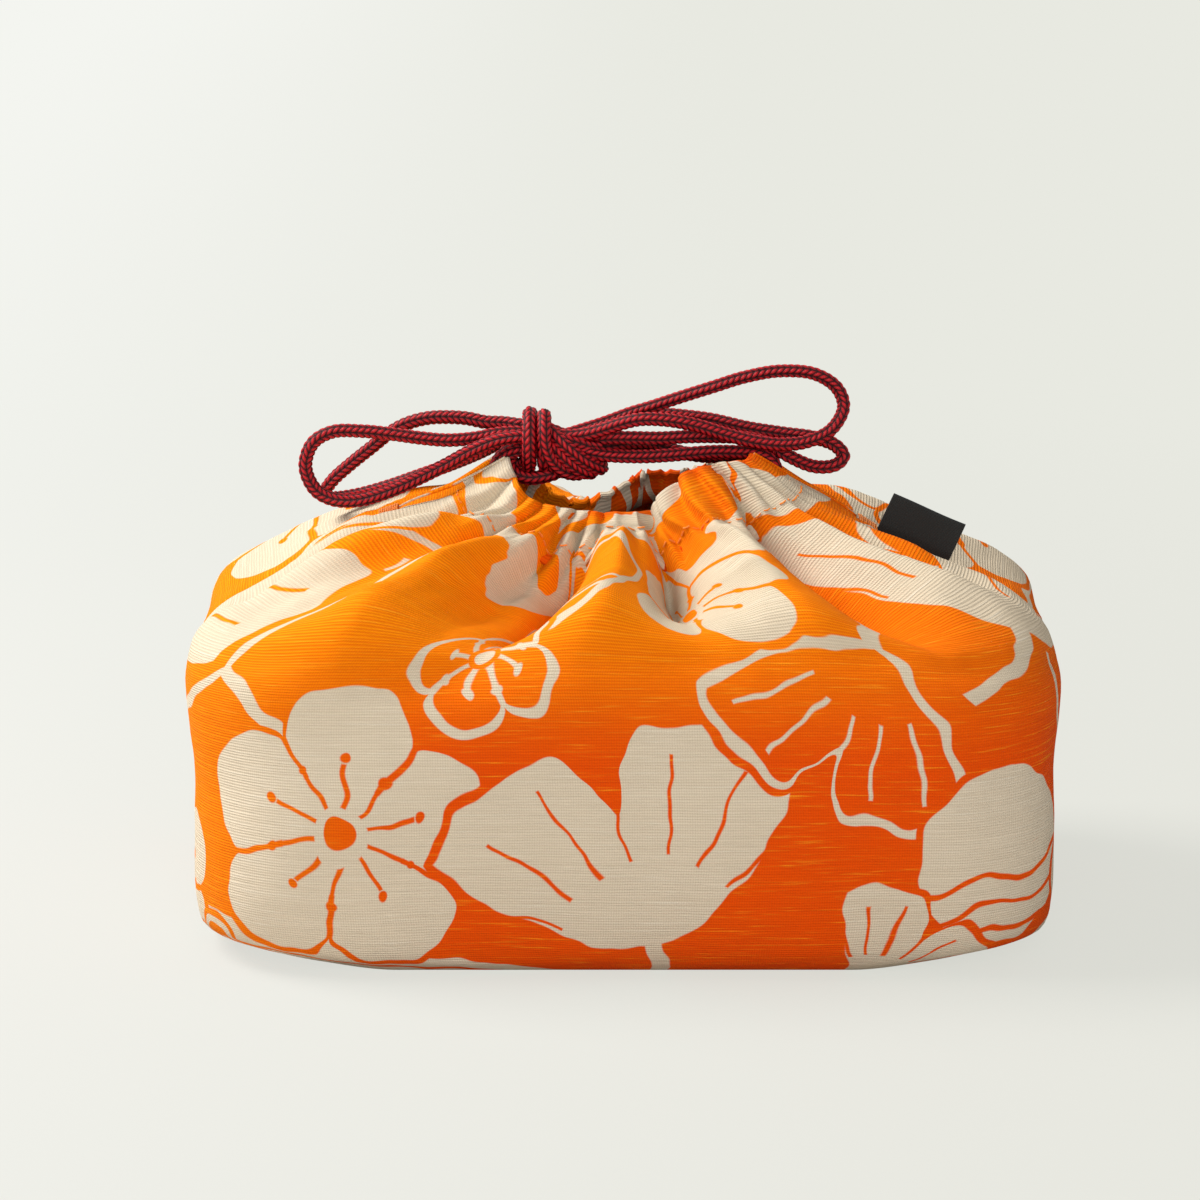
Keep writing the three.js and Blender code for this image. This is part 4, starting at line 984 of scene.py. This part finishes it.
# %% Motifs of the print
def plum_blossom(across, up, centre, size, degrees):
    """The distance inside a blossom of five petals, and the lines drawn in it."""
    x, y = turned(across, up, centre, degrees)
    far = (x * x + y * y).root()
    angle = y.math("ARCTAN2", y, x)
    cleft = abs((angle * 2.5).cos())
    ray = abs((angle * 5).sin()) * far * 0.2
    inside = ((cleft + 0.02) ** 0.5 * 0.34 + 0.66) * size - far
    between = soft_edge(0.75 - cleft * far * 0.4) * soft_edge(far - size * 0.42)
    middle = soft_edge(size * 0.12 - far)
    stamens = soft_edge((0.6 - ray).least(far - size * 0.2).least(size * 0.46 - far))
    tips = soft_edge(1.25 - ((far - size * 0.5) ** 2 + ray * ray).root())
    return inside, between.most(middle).most(stamens).most(tips)


def ginkgo_leaf(across, up, centre, size, degrees):
    """The distance inside a fan-shaped leaf on its stalk, and its veins."""
    x, y = turned(across, up, centre, degrees)
    far = (x * x + y * y).root()
    angle = x.math("ARCTAN2", x, y)
    notch = angle.math("EXPONENT", angle * angle * -70)
    rim = (1 - notch * 0.4 + (angle * 9).cos() * 0.03) * size
    spread = (far / size) * -0.42 + 1.3
    blade = (rim - far).least((spread - abs(angle)) * far * 0.9)
    stalk = (2.0 - abs(x + y * y * 0.008)).least(1.5 - y).least(y + size * 0.62)
    vein = (0.5 - abs((angle * 9).sin()) * far * 0.11).least(far - size * 0.42).least(size * 0.86 - far)
    return blade.most(stalk), soft_edge(vein)


def moon(across, up, centre, size, degrees):
    """The distance inside a disc, and the water lines over its lower half."""
    x, y = turned(across, up, centre, degrees)
    far = (x * x + y * y).root()
    wave = y + (x * 0.2).sin() * 1.8
    return size - far, soft_edge((0.8 - abs((wave / 7.5).part() - 0.5) * 7.5).least(x * 0.12 - y))


def flowing_band(across, up, level, swing, half_width, waves, start):
    """The distance inside a stream of uneven width, and the lines that run along it."""
    turn = across * (2 * math.pi * waves / REPEAT_ACROSS) + start
    off = up - (turn.sin() * swing + (turn * 2 + 1.0).sin() * (swing * 0.3) + level)
    width = (turn * 3 + 2.0).sin() * (half_width * 0.18) + half_width
    lines = (0.8 - abs(off - half_width * 0.4)).most(0.8 - abs(off + half_width * 0.35))
    return width - abs(off), soft_edge(lines)


# %% Layout of the print
# Each motif's way of printing, shape, centre on the flat cloth, size and turn, from the lowest to
# the topmost. Centres and sizes are in millimetres.
DRIFT, DRIFT_GRAIN = 6, 0.09  # how far the hand-cut edges wander, and how often
motifs = [
    (outlined, ginkgo_leaf, (34, 142), 52, 62),
    (outlined, moon, (112, 178), 27, -12),
    (laid_over, plum_blossom, (66, 104), 36, 12),
    (laid_over, ginkgo_leaf, (142, 74), 58, 16),
    (outlined, ginkgo_leaf, (198, 150), 46, 152),
    (laid_over, moon, (228, 96), 23, 10),
    (outlined, plum_blossom, (100, 148), 21, 40),
    (laid_over, ginkgo_leaf, (246, 152), 50, -48),
    (laid_over, plum_blossom, (166, 176), 27, 5),
    (laid_over, plum_blossom, (4, 86), 24, 30),
    (laid_over, ginkgo_leaf, (196, 60), 30, -34),
    (outlined, plum_blossom, (28, 60), 17, 10),
]


def print_mask(wire, shift):
    """1 where the cloth is cream, 0 where it is orange."""
    across, up = uv_in_mm(wire)
    flat = wire.node("ShaderNodeCombineXYZ", {}, {"X": across * DRIFT_GRAIN, "Y": up * DRIFT_GRAIN})
    drift = wire.node("ShaderNodeTexNoise", {}, {"Vector": flat, "Scale": 1.0, "Detail": 0.8}, "Color")
    sideways = wire.node("ShaderNodeSeparateColor", {}, {"Color": drift}, "Red")
    upwards = wire.node("ShaderNodeSeparateColor", {}, {"Color": drift}, "Green")
    across = across + sideways * DRIFT + (shift - DRIFT / 2)
    up = up + upwards * DRIFT - DRIFT / 2
    inside, lines = flowing_band(across, up, 50.0, 21.0, 13.0, 1, 0.6)
    mask = soft_edge(inside) * (1 - lines)
    mask = laid_over(mask, flowing_band(across, up, 203.0, 12.0, 7.5, 2, 2.0)[0], 0)
    mask = laid_over(mask, flowing_band(across, up, 229.0, 9.0, 5.5, 3, 0.5)[0], 0)
    for way, shape, centre, size, degrees in motifs:
        mask = way(mask, *shape(across, up, centre, size, degrees))
    return mask


print("motifs:", len(motifs), "in a repeat of", REPEAT_ACROSS, "mm")


# %% Weave of the slub cotton
RIB_PITCH, WARP_PITCH = 0.68, 0.6


def weave(wire):
    """The ribs, the warp, the slubs and the broad unevenness, each about 0 to 1."""
    across, up = uv_in_mm(wire)
    place = {"X": across * 0.06, "Y": up * 1.5, "Z": 0.0}
    streak_at = wire.node("ShaderNodeCombineXYZ", {}, place)
    uneven = {"Vector": streak_at, "Scale": 1.0, "Detail": 3.0, "Roughness": 0.6}
    slub = wire.node("ShaderNodeTexNoise", {}, uneven)
    broad_at = wire.node("ShaderNodeCombineXYZ", {}, {"X": across * 0.02, "Y": up * 0.5, "Z": 4.0})
    broad = wire.node("ShaderNodeTexNoise", {}, {"Vector": broad_at, "Scale": 1.0, "Detail": 2.0})
    wavy = up + (slub - 0.5) * 0.6
    rib = (wavy * (2 * math.pi / RIB_PITCH)).sin() * 0.5 + 0.5
    warp = (across * (2 * math.pi / WARP_PITCH) + (slub * 5)).sin() * 0.5 + 0.5
    return rib, warp, slub, broad


# %% Cloth finish
# Heights up the flat cloth. The painted light that brightens the slope's orange fades in from the
# first to the second, and out again where the cloth turns in as the hem.
SLOPE_FROM, SLOPE_FULL = 118, 162
HEM_FROM, HEM_FULL = 216, 222


def printed_cotton(name, shift):
    """The printed cloth, with painted light and shade: its orange is painted brighter on the slope and at
    the left flank and darker at the slope's right, and its cream a little darker on the slope.
    """
    material, shader, wire = new_material(name, 0.9, 0.02, (1.0, 0.5, 0.1, 1))
    shader.inputs["Specular IOR Level"].default_value = 0.08
    rib, warp, slub, broad = weave(wire)
    across, up = uv_in_mm(wire)
    mask = print_mask(wire, shift)
    streak = slub.step(0.54, 0.74)
    depth = (broad - 0.5) * 0.9 + 0.5
    # Painted light and shade: this mask brings in a brighter orange and a slightly darker cream on the
    # slope, and ends at the hem.
    painted_slope_light = up.step(SLOPE_FROM, SLOPE_FULL) * (1 - up.step(HEM_FROM, HEM_FULL))
    wall_orange = depth.mix(colour(226, 72, 0), colour(234, 84, 0))
    # Painted light: the orange at the left flank is painted brighter and yellower.
    wall_orange = (across.step(-40, -120) * 0.9).mix(wall_orange, colour(238, 136, 0))
    # Painted light: the slope's orange is a lit, yellower copy of the wall's.
    lit_slope_orange = depth.mix(colour(255, 138, 0), colour(255, 150, 0))
    # Painted shade: the slope's orange is painted darker towards the right.
    lit_slope_orange = across.step(20, 110).mix(lit_slope_orange, colour(238, 118, 0))
    orange = painted_slope_light.mix(wall_orange, lit_slope_orange)
    orange = (streak * 0.6).mix(orange, colour(255, 170, 36))
    orange = ((1 - rib) * 0.45).mix(orange, colour(208, 60, 0))
    wall_cream = depth.mix(colour(212, 197, 172), colour(222, 209, 186))
    # Painted shade: the cream is painted a little darker on the slope.
    cream = painted_slope_light.mix(wall_cream, colour(214, 199, 173))
    cream = (streak * 0.6).mix(cream, colour(230, 221, 202))
    cream = ((1 - rib) * 0.4).mix(cream, colour(180, 164, 140))
    base = mask.mix(orange, cream)
    base = ((1 - warp) * 0.12).mix(base, colour(120, 60, 20))
    connect(shader, "Base Color", base)
    height = rib * 0.8 + warp * 0.3 + slub * 1.2
    connect(shader, "Normal", raised(wire, height, 0.00016, 0.9))
    return material


# %% Cloth pieces
CLOTH_WALL = 0.7

front_print = printed_cotton("printed cotton, front", 134.0)
back_print = printed_cotton("printed cotton, back", 30.0)
for panel, finish, nodes in (
        (FRONT, front_print, ("front_panel", "front_casing")),
        (BACK, back_print, ("back_panel", "back_casing"))):
    cloth = panels[panel][0]
    cloth.data.materials.append(finish)
    wall = cloth.modifiers.new("cloth thickness", "SOLIDIFY")
    wall.thickness = CLOTH_WALL * MM
    wall.offset = -1
    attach(cloth, "bag")
    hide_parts(*nodes)
print("cloth finishes done")

# %% [markdown]
# ## Drawcords in the casing
# Most of each cord runs hidden between the cloth and its hem. It shows at the slits, so both
# runs are made as the same braid, along the middle of the channel. They are a little thinner
# than the free cord, so that they stay between the cloth and the hem all the way.

# %% Drawcord runs
CHANNEL_DEPTH = 3.1  # from the outside of the cloth to the middle of the cord
RUN_SHARE = 0.95  # how far a run reaches towards the seams
RUN_RELIEF = 0.4


def run_route(own_side, drop):
    """Points of a run: through the front casing, round the far slit, back through the other."""
    station = RIM - drop / NECK_TO_RIM
    spots = np.linspace(-RUN_SHARE, RUN_SHARE, 61)
    halves = {}
    for panel in (FRONT, BACK):
        row = body_row(panel, places, station)
        lower = body_row(panel, places, station - 0.02)
        out = np.cross(np.gradient(row, axis=0), row - lower) * -panel
        out /= np.linalg.norm(out, axis=1)[:, None]
        main = main_folds(panel, places, station)[:, None]
        row = row + fold_directions(out, station) * main - out * CHANNEL_DEPTH
        halves[panel] = np.stack([np.interp(spots, places, row[:, k]) for k in range(3)], 1)
    share = station / RIM
    width = body_outline(share)[0]
    _, seam_height, shift = body_seam(share)
    turn = (-own_side * (width - CHANNEL_DEPTH) + shift, 0, seam_height - CHANNEL_DEPTH / 2)
    order = slice(None, None, -own_side)
    return [*halves[FRONT][order], turn, *halves[BACK][order][::-1]]


for name, own_side, drop in (("left_drawcord", -1, 5.0), ("right_drawcord", 1, 9.2)):
    run, path = braided_tube(name, run_route(own_side, drop), CORD, RUN_RELIEF)
    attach(run, "bag")
    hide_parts(name + "_run")
    print(name, "run", round(len(path) * RING_STEP), "mm")

# %% [markdown]
# ## Slit edges
# Between the two casings each panel's edge is folded in and sewn. A narrow strip of cloth
# goes round the edge and lies flat inside, so the slit shows a soft rounded edge.

# %% Folded slit edges
EDGE_ROUND = 0.85  # radius of the fold round the panel's edge
EDGE_OVERLAP = 0.5
EDGE_STEP = 0.6  # between the strip's points on the flat cloth
EDGE_UP = 150  # where the strip starts on the flat cloth
EDGE_WALL = 0.5


def slit_edge(name, panel, side):
    """A strip of cloth round one edge of a panel at its slit."""
    _, outside, folded, out = panels[panel]
    column = 0 if side < 0 else -1
    inner = 8 if side < 0 else -9
    rows = []
    for k in np.flatnonzero(rows_up >= slit_foot):
        edge, normal = outside[k][column], out[k][column]
        inward = outside[k][inner] - edge
        inward -= normal * np.dot(inward, normal)
        inward /= np.linalg.norm(inward)
        row = []
        for degrees in range(-90, 91, 30):
            turn = math.radians(degrees)
            behind = EDGE_ROUND + EDGE_ROUND * math.sin(turn)
            beyond = EDGE_ROUND * math.cos(turn) - EDGE_OVERLAP
            row.append(edge - normal * behind - inward * beyond)
        for away in (1.2, 2.4, 3.6, 4.8):
            row.append(edge - normal * (2 * EDGE_ROUND) + inward * away)
        rows.append(row)
    grid = np.array(rows)
    if side * panel > 0:
        grid = grid[:, ::-1]

    def on_flat_cloth(row, column):
        return side * (FLAT_HALF_WIDTH - column * EDGE_STEP) * MM, (EDGE_UP + row * EDGE_STEP) * MM

    piece = sheet_mesh(name, grid, on_flat_cloth)
    wall = piece.modifiers.new("cloth thickness", "SOLIDIFY")
    wall.thickness = EDGE_WALL * MM
    wall.offset = 1
    return piece


for side_name, side in (("left", -1), ("right", 1)):
    for panel_name, panel in (("front", FRONT), ("back", BACK)):
        name = side_name + "_" + panel_name + "_slit"
        edge = slit_edge(name + "_edge", panel, side)
        edge.data.materials.append(front_print if panel == FRONT else back_print)
        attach(edge, "bag")
        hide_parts(name + "_hem")
print("slit edges done")

# %% [markdown]
# ## Sewing
# A line of machine stitches holds each casing, and a bar of close stitches guards each slit's
# foot. Stitches repeat along a path, so Geometry Nodes place one small rounded thread at even
# steps and turn it along the line. The tree has named sizes, and ends in plain geometry.

# %% Thread finish
def thread_material():
    material, shader, wire = new_material("sewing thread", 0.55, 0.2, (1, 0.8, 0.5, 1))
    point = wire.node("ShaderNodeTexCoord", {}, {}, "Object")
    fibre = wire.node("ShaderNodeTexNoise", {}, {"Vector": point, "Scale": 4000.0, "Detail": 2.0})
    connect(shader, "Base Color", fibre.step(0.3, 0.75).mix(colour(220, 110, 30), colour(240, 150, 60)))
    connect(shader, "Normal", raised(wire, fibre, 0.00003, 0.6))
    return material


thread_finish = thread_material()
print("thread finish:", thread_finish.name)


# %% Stitch tree
CASING_STITCH = {"Pitch": 0.0027, "Stitch Length": 0.0017, "Thread Radius": 0.0002}
BAR_STITCH = {"Pitch": 0.0011, "Stitch Length": 0.0014, "Thread Radius": 0.0002}
ARCH_POINTS, THREAD_SIDES = 7, 7
ARCH_DROP = 0.86  # share of the arch's radius by which it is let down on to the cloth


def stitch_tree(name):
    """Rounded threads at even steps along a curve."""
    tree = bpy.data.node_groups.new(name, "GeometryNodeTree")
    tree.interface.new_socket("Geometry", in_out="INPUT", socket_type="NodeSocketGeometry")
    for label, value in CASING_STITCH.items():
        socket = tree.interface.new_socket(label, in_out="INPUT", socket_type="NodeSocketFloat")
        socket.default_value = value
    tree.interface.new_socket("Finish", in_out="INPUT", socket_type="NodeSocketMaterial")
    tree.interface.new_socket("Geometry", in_out="OUTPUT", socket_type="NodeSocketGeometry")
    add, link = tree.nodes.new, tree.links.new
    given, result = add("NodeGroupInput"), add("NodeGroupOutput")
    steps = add("GeometryNodeCurveToPoints")
    steps.mode = "LENGTH"
    link(given.outputs["Geometry"], steps.inputs["Curve"])
    link(given.outputs["Pitch"], steps.inputs["Length"])
    arch = add("GeometryNodeCurveArc")
    arch.inputs["Resolution"].default_value = ARCH_POINTS
    arch.inputs["Sweep Angle"].default_value = math.radians(60)
    arch.inputs["Start Angle"].default_value = math.radians(60)
    link(given.outputs["Stitch Length"], arch.inputs["Radius"])
    let_down = add("GeometryNodeTransform")
    drop = add("ShaderNodeCombineXYZ")
    lower = add("ShaderNodeMath")
    lower.operation = "MULTIPLY"
    lower.inputs[1].default_value = -ARCH_DROP
    link(given.outputs["Stitch Length"], lower.inputs[0])
    link(lower.outputs[0], drop.inputs["Y"])
    link(arch.outputs["Curve"], let_down.inputs["Geometry"])
    link(drop.outputs[0], let_down.inputs["Translation"])
    round_section = add("GeometryNodeCurvePrimitiveCircle")
    round_section.inputs["Resolution"].default_value = THREAD_SIDES
    link(given.outputs["Thread Radius"], round_section.inputs["Radius"])
    thread = add("GeometryNodeCurveToMesh")
    thread.inputs["Fill Caps"].default_value = True
    link(let_down.outputs["Geometry"], thread.inputs["Curve"])
    link(round_section.outputs["Curve"], thread.inputs["Profile Curve"])
    instances = add("GeometryNodeInstanceOnPoints")
    link(steps.outputs["Points"], instances.inputs["Points"])
    link(thread.outputs["Mesh"], instances.inputs["Instance"])
    facing = add("FunctionNodeAxesToRotation")
    facing.primary_axis = "X"
    facing.secondary_axis = "Y"
    link(steps.outputs["Tangent"], facing.inputs["Primary Axis"])
    link(steps.outputs["Normal"], facing.inputs["Secondary Axis"])
    link(facing.outputs["Rotation"], instances.inputs["Rotation"])
    real = add("GeometryNodeRealizeInstances")
    link(instances.outputs["Instances"], real.inputs["Geometry"])
    finish = add("GeometryNodeSetMaterial")
    link(real.outputs["Geometry"], finish.inputs["Geometry"])
    link(given.outputs["Finish"], finish.inputs["Material"])
    link(finish.outputs["Geometry"], result.inputs["Geometry"])
    return tree


# %% Stitches along lines
def sewn_along(name, lines, sizes):
    """Stitches along lines of points, as a plain mesh object."""
    tree = stitch_tree(name + " stitches")
    made = []
    for points in lines:
        curve = bpy.data.curves.new(name, "CURVE")
        curve.dimensions = "3D"
        spline = curve.splines.new("POLY")
        spline.points.add(len(points) - 1)
        for target, point in zip(spline.points, points):
            target.co = (*(point * MM), 1)
        holder = bpy.data.objects.new(name, curve)
        bpy.context.scene.collection.objects.link(holder)
        modifier = holder.modifiers.new("stitches", "NODES")
        modifier.node_group = tree
        for item in tree.interface.items_tree:
            if item.in_out == "INPUT" and item.name in sizes:
                modifier[item.identifier] = sizes[item.name]
            if item.in_out == "INPUT" and item.name == "Finish":
                modifier[item.identifier] = thread_finish
        graph = bpy.context.evaluated_depsgraph_get()
        mesh = bpy.data.meshes.new_from_object(holder.evaluated_get(graph), depsgraph=graph)
        bpy.data.objects.remove(holder)
        part = bpy.data.objects.new(name, mesh)
        bpy.context.scene.collection.objects.link(part)
        made.append(part)
    return joined(name, made)


# %% Casing stitches
STITCH_DROP = 12.6  # from the rim down to the line of stitches
STITCH_SPAN = 0.93  # how far the line reaches towards the seams
STITCH_RISE = 0.12  # above the cloth


def casing_line(panel):
    """Points along a casing's stitches, just above the cloth."""
    _, outside, _, out = panels[panel]
    station = RIM - STITCH_DROP / NECK_TO_RIM
    k = int(np.argmin(abs(rows_up - station)))
    inside = np.abs(places) < STITCH_SPAN
    return outside[k][inside] + out[k][inside] * STITCH_RISE


for name, panel in (("front_casing_stitching", FRONT), ("back_casing_stitching", BACK)):
    sewing = sewn_along(name.replace("stitching", "stitches"), [casing_line(panel)], CASING_STITCH)
    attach(sewing, "bag")
    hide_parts(name)
    print(name, len(sewing.data.polygons), "faces")


# %% Bars of close stitches
BAR_LINES, BAR_STEP = 9, 0.24
BAR_HALF_LENGTH, BAR_BEND = 3, 0.055


def bar_lines(side):
    """Short lines side by side across a slit's foot, every second one a little higher."""
    spread = np.linspace(-BAR_HALF_LENGTH, BAR_HALF_LENGTH, 9)
    lines = []
    for k in range(BAR_LINES):
        station = RIM - (SLIT_DEPTH + 0.2 + BAR_STEP * k) / NECK_TO_RIM
        front = body_row(FRONT, np.array([side * 1.0]), station)[0]
        height = front[2] - BAR_BEND * spread ** 2 + 0.15 + 0.12 * (k % 2)
        lines.append(np.stack([np.full(len(spread), front[0]), spread, height], 1))
    return lines


for name, side in (("left_bartack", -1), ("right_bartack", 1)):
    bar = sewn_along(name + "_stitches", bar_lines(side), BAR_STITCH)
    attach(bar, "bag")
    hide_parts(name)
    print(name, len(bar.data.polygons), "faces")

# %% [markdown]
# ## The label
# A strip of black woven tape is folded double and its ends are caught in the side seam. It
# stands up on its own, with a soft fold at the top and a slight curl.

# %% Label finish
def label_material():
    """Black tape, woven closely both ways."""
    material, shader, wire = new_material("black woven tape", 0.75, 0.25)
    across, up = uv_in_mm(wire)
    rib = (up * (2 * math.pi / 0.34)).sin() * 0.5 + 0.5
    warp = (across * (2 * math.pi / 0.3)).sin() * 0.5 + 0.5
    both_ways = rib * 0.6 + warp * 0.4
    connect(shader, "Base Color", both_ways.mix(colour(16, 17, 17), colour(42, 44, 43)))
    connect(shader, "Normal", raised(wire, both_ways, 0.00008, 0.8))
    return material


tape_finish = label_material()
print("label finish:", tape_finish.name)

# %% Label
LABEL_LENGTH, LABEL_RISE = 19.7, 9.3
LABEL_STEPS = 40
LABEL_CURL, LABEL_TWIST, LABEL_WAVE = 0.5, 0.25, 0.08
TAPE_WALL = 0.28

seat_low, seat_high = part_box("side_label")
foot_inner = np.array((63.6, 0, 95.9))
foot_outer = np.array((81.6, 0, 87.9))
tape_along = (foot_outer - foot_inner) / np.linalg.norm(foot_outer - foot_inner)
tape_up = np.array((-tape_along[2], 0, tape_along[0]))
# Across the folded tape and up it, from one foot over the fold to the other foot
profile = [(-0.42, -1.8), (-0.42, 1.5), (-0.4, 4), (-0.38, 6.3), (-0.36, 8.2), (-0.26, 8.9), (-0.1, 9.2)]
profile += [(-x, z) for x, z in profile[::-1]]
rows = []
for y, z in profile:
    row = []
    for k in range(LABEL_STEPS + 1):
        s = k / LABEL_STEPS
        curl = LABEL_CURL * math.sin(math.pi * s) * (z / LABEL_RISE) ** 2
        curl += LABEL_TWIST * math.sin(3 * s + 1) * z / LABEL_RISE
        point = foot_inner + tape_along * (LABEL_LENGTH * s) + tape_up * (z + LABEL_WAVE * math.sin(6 * s))
        row.append(point + np.array((0, y - curl, 0)))
    rows.append(row)
tape_grid = np.array(rows)
tape_level = np.concatenate([[0], np.cumsum(np.linalg.norm(np.diff(tape_grid[:, 0], axis=0), axis=1))])


def along_and_up_tape(row, column):
    return LABEL_LENGTH * column / LABEL_STEPS * MM, tape_level[row] * MM


label = sheet_mesh("woven_label", tape_grid, along_and_up_tape)
tape_wall = label.modifiers.new("tape thickness", "SOLIDIFY")
tape_wall.thickness = TAPE_WALL * MM
tape_wall.offset = -1
label.data.materials.append(tape_finish)
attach(label, "label")
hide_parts("side_label")
print("label stands", round((seat_high[2] - seat_low[2]) * 1000, 1), "mm tall in the packed model")

# %% [markdown]
# ## Seams inside
# The seam allowances lie inside the bag, where only a look into the mouth finds them. The
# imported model's strips have the right shape, so they stay and get the raw cloth's finish.

# %% Raw cloth finish
def raw_cloth():
    material, shader, wire = new_material("raw cotton", 0.9, 0.3, (1, 0.7, 0.4, 1))
    point = wire.node("ShaderNodeTexCoord", {}, {}, "Object")
    height = wire.node("ShaderNodeSeparateXYZ", {}, {"Vector": point}, "Z")
    rib = (height * (2 * math.pi / 0.0006)).sin() * 0.5 + 0.5
    mottled = wire.node("ShaderNodeTexNoise", {}, {"Vector": point, "Scale": 260.0, "Detail": 3.0})
    base = mottled.mix(colour(206, 104, 44), colour(228, 140, 78))
    connect(shader, "Base Color", ((1 - rib) * 0.3).mix(base, colour(170, 78, 30)))
    connect(shader, "Normal", raised(wire, rib, 0.0001, 0.6))
    return material


raw_finish = raw_cloth()
for name in ("left_side_seam", "right_side_seam", "bottom_seam", "left_gusset_seam", "right_gusset_seam"):
    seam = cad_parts[name]
    seam.data.materials.clear()
    seam.data.materials.append(raw_finish)
print("seam finishes done")

# %% [markdown]
# ## Table and light
# The photograph has a pale seamless table and soft daylight from the upper left. The camera,
# and anything shiny, sees the floor and the sky in their own pale colours. The lamps stay at
# a plain level, so the cloth's colours come out about as they are written, and part of the
# floor's colour is still lit by them, so it keeps the bag's shadow.

# %% Floor
def looked_at(wire):
    """1 for what the camera sees, straight or in a shiny or clear surface, and 0 for other light."""
    ways = ("Is Camera Ray", "Is Glossy Ray", "Is Transmission Ray")
    straight, mirrored, through = (wire.node("ShaderNodeLightPath", {}, {}, way) for way in ways)
    return straight.most(mirrored).most(through)


FLOOR_REACH = 3
floor_corners = [(x * FLOOR_REACH, y * FLOOR_REACH, 0) for x, y in ((-1, -1), (1, -1), (1, 1), (-1, 1))]
floor_mesh = bpy.data.meshes.new("floor")
floor_mesh.from_pydata(floor_corners, [], [(0, 1, 2, 3)])
floor = bpy.data.objects.new("floor", floor_mesh)
bpy.context.scene.collection.objects.link(floor)
floor_finish = bpy.data.materials.new("pale table")
floor_finish.use_nodes = True
table = floor_finish.node_tree.nodes["Principled BSDF"]
table.inputs["Base Color"].default_value = colour(200, 198, 194)
table.inputs["Roughness"].default_value = 0.7
table.inputs["Specular IOR Level"].default_value = 0.2
glaze = Wire(floor_finish.node_tree)
spot = glaze.node("ShaderNodeTexCoord", {}, {}, "Object")
far = glaze.node("ShaderNodeVectorMath", {"operation": "LENGTH"}, {0: spot}, "Value")
# Painted light: the floor that the camera sees glows lighter towards the left, where the window is.
painted_light_to_left = glaze.node("ShaderNodeSeparateXYZ", {}, {"Vector": spot}, "X").step(-0.45, 0.12)
pale = painted_light_to_left.mix(colour(244, 245, 240), colour(232, 233, 225))
floor_glow = glaze.node("ShaderNodeEmission", {}, {"Color": pale, "Strength": 1.0})
paper = Wire(floor_finish.node_tree, table.outputs["BSDF"])
cover = far.step(0.12, 0.75) * 0.2 + 0.8
blend = glaze.node("ShaderNodeMixShader", {}, {0: looked_at(glaze) * cover, 1: paper, 2: floor_glow})
floor_out = floor_finish.node_tree.nodes["Material Output"]
floor_finish.node_tree.links.new(blend.socket, floor_out.inputs["Surface"])
floor_mesh.materials.append(floor_finish)
print("floor:", 2 * FLOOR_REACH, "m wide")


# %% Lamps
def soft_lamp(name, place, aim, size, power, tint):
    """A large lamp of soft light, turned towards a point."""
    lamp = bpy.data.lights.new(name, "AREA")
    lamp.shape = "RECTANGLE"
    lamp.size, lamp.size_y = size
    lamp.energy = power
    lamp.color = tint
    holder = bpy.data.objects.new(name, lamp)
    bpy.context.scene.collection.objects.link(holder)
    holder.location = place
    holder.rotation_euler = (Vector(aim) - Vector(place)).to_track_quat("-Z", "Y").to_euler()


soft_lamp("window", (-0.9, 0.16, 1.05), (0, 0, 0.06), (0.75, 0.75), 28, (1.0, 0.98, 0.95))
soft_lamp("bounce", (0.1, -1.6, 0.6), (0, 0, 0.05), (1.2, 1.0), 13.5, (1.0, 0.98, 0.96))

print("lamps:", [lamp.name for lamp in bpy.data.lights])

# %% Sky
sky = bpy.data.worlds.new("studio")
sky.use_nodes = True
bpy.context.scene.world = sky
air = Wire(sky.node_tree)
sky.node_tree.nodes.clear()
tone = looked_at(air).mix((0.355, 0.365, 0.375, 1), colour(230, 232, 226))
glow = air.node("ShaderNodeBackground", {}, {"Color": tone, "Strength": 1.0})
horizon = sky.node_tree.nodes.new("ShaderNodeOutputWorld")
sky.node_tree.links.new(glow.socket, horizon.inputs["Surface"])
bpy.context.scene.view_settings.view_transform = "Standard"
print("sky:", sky.name)
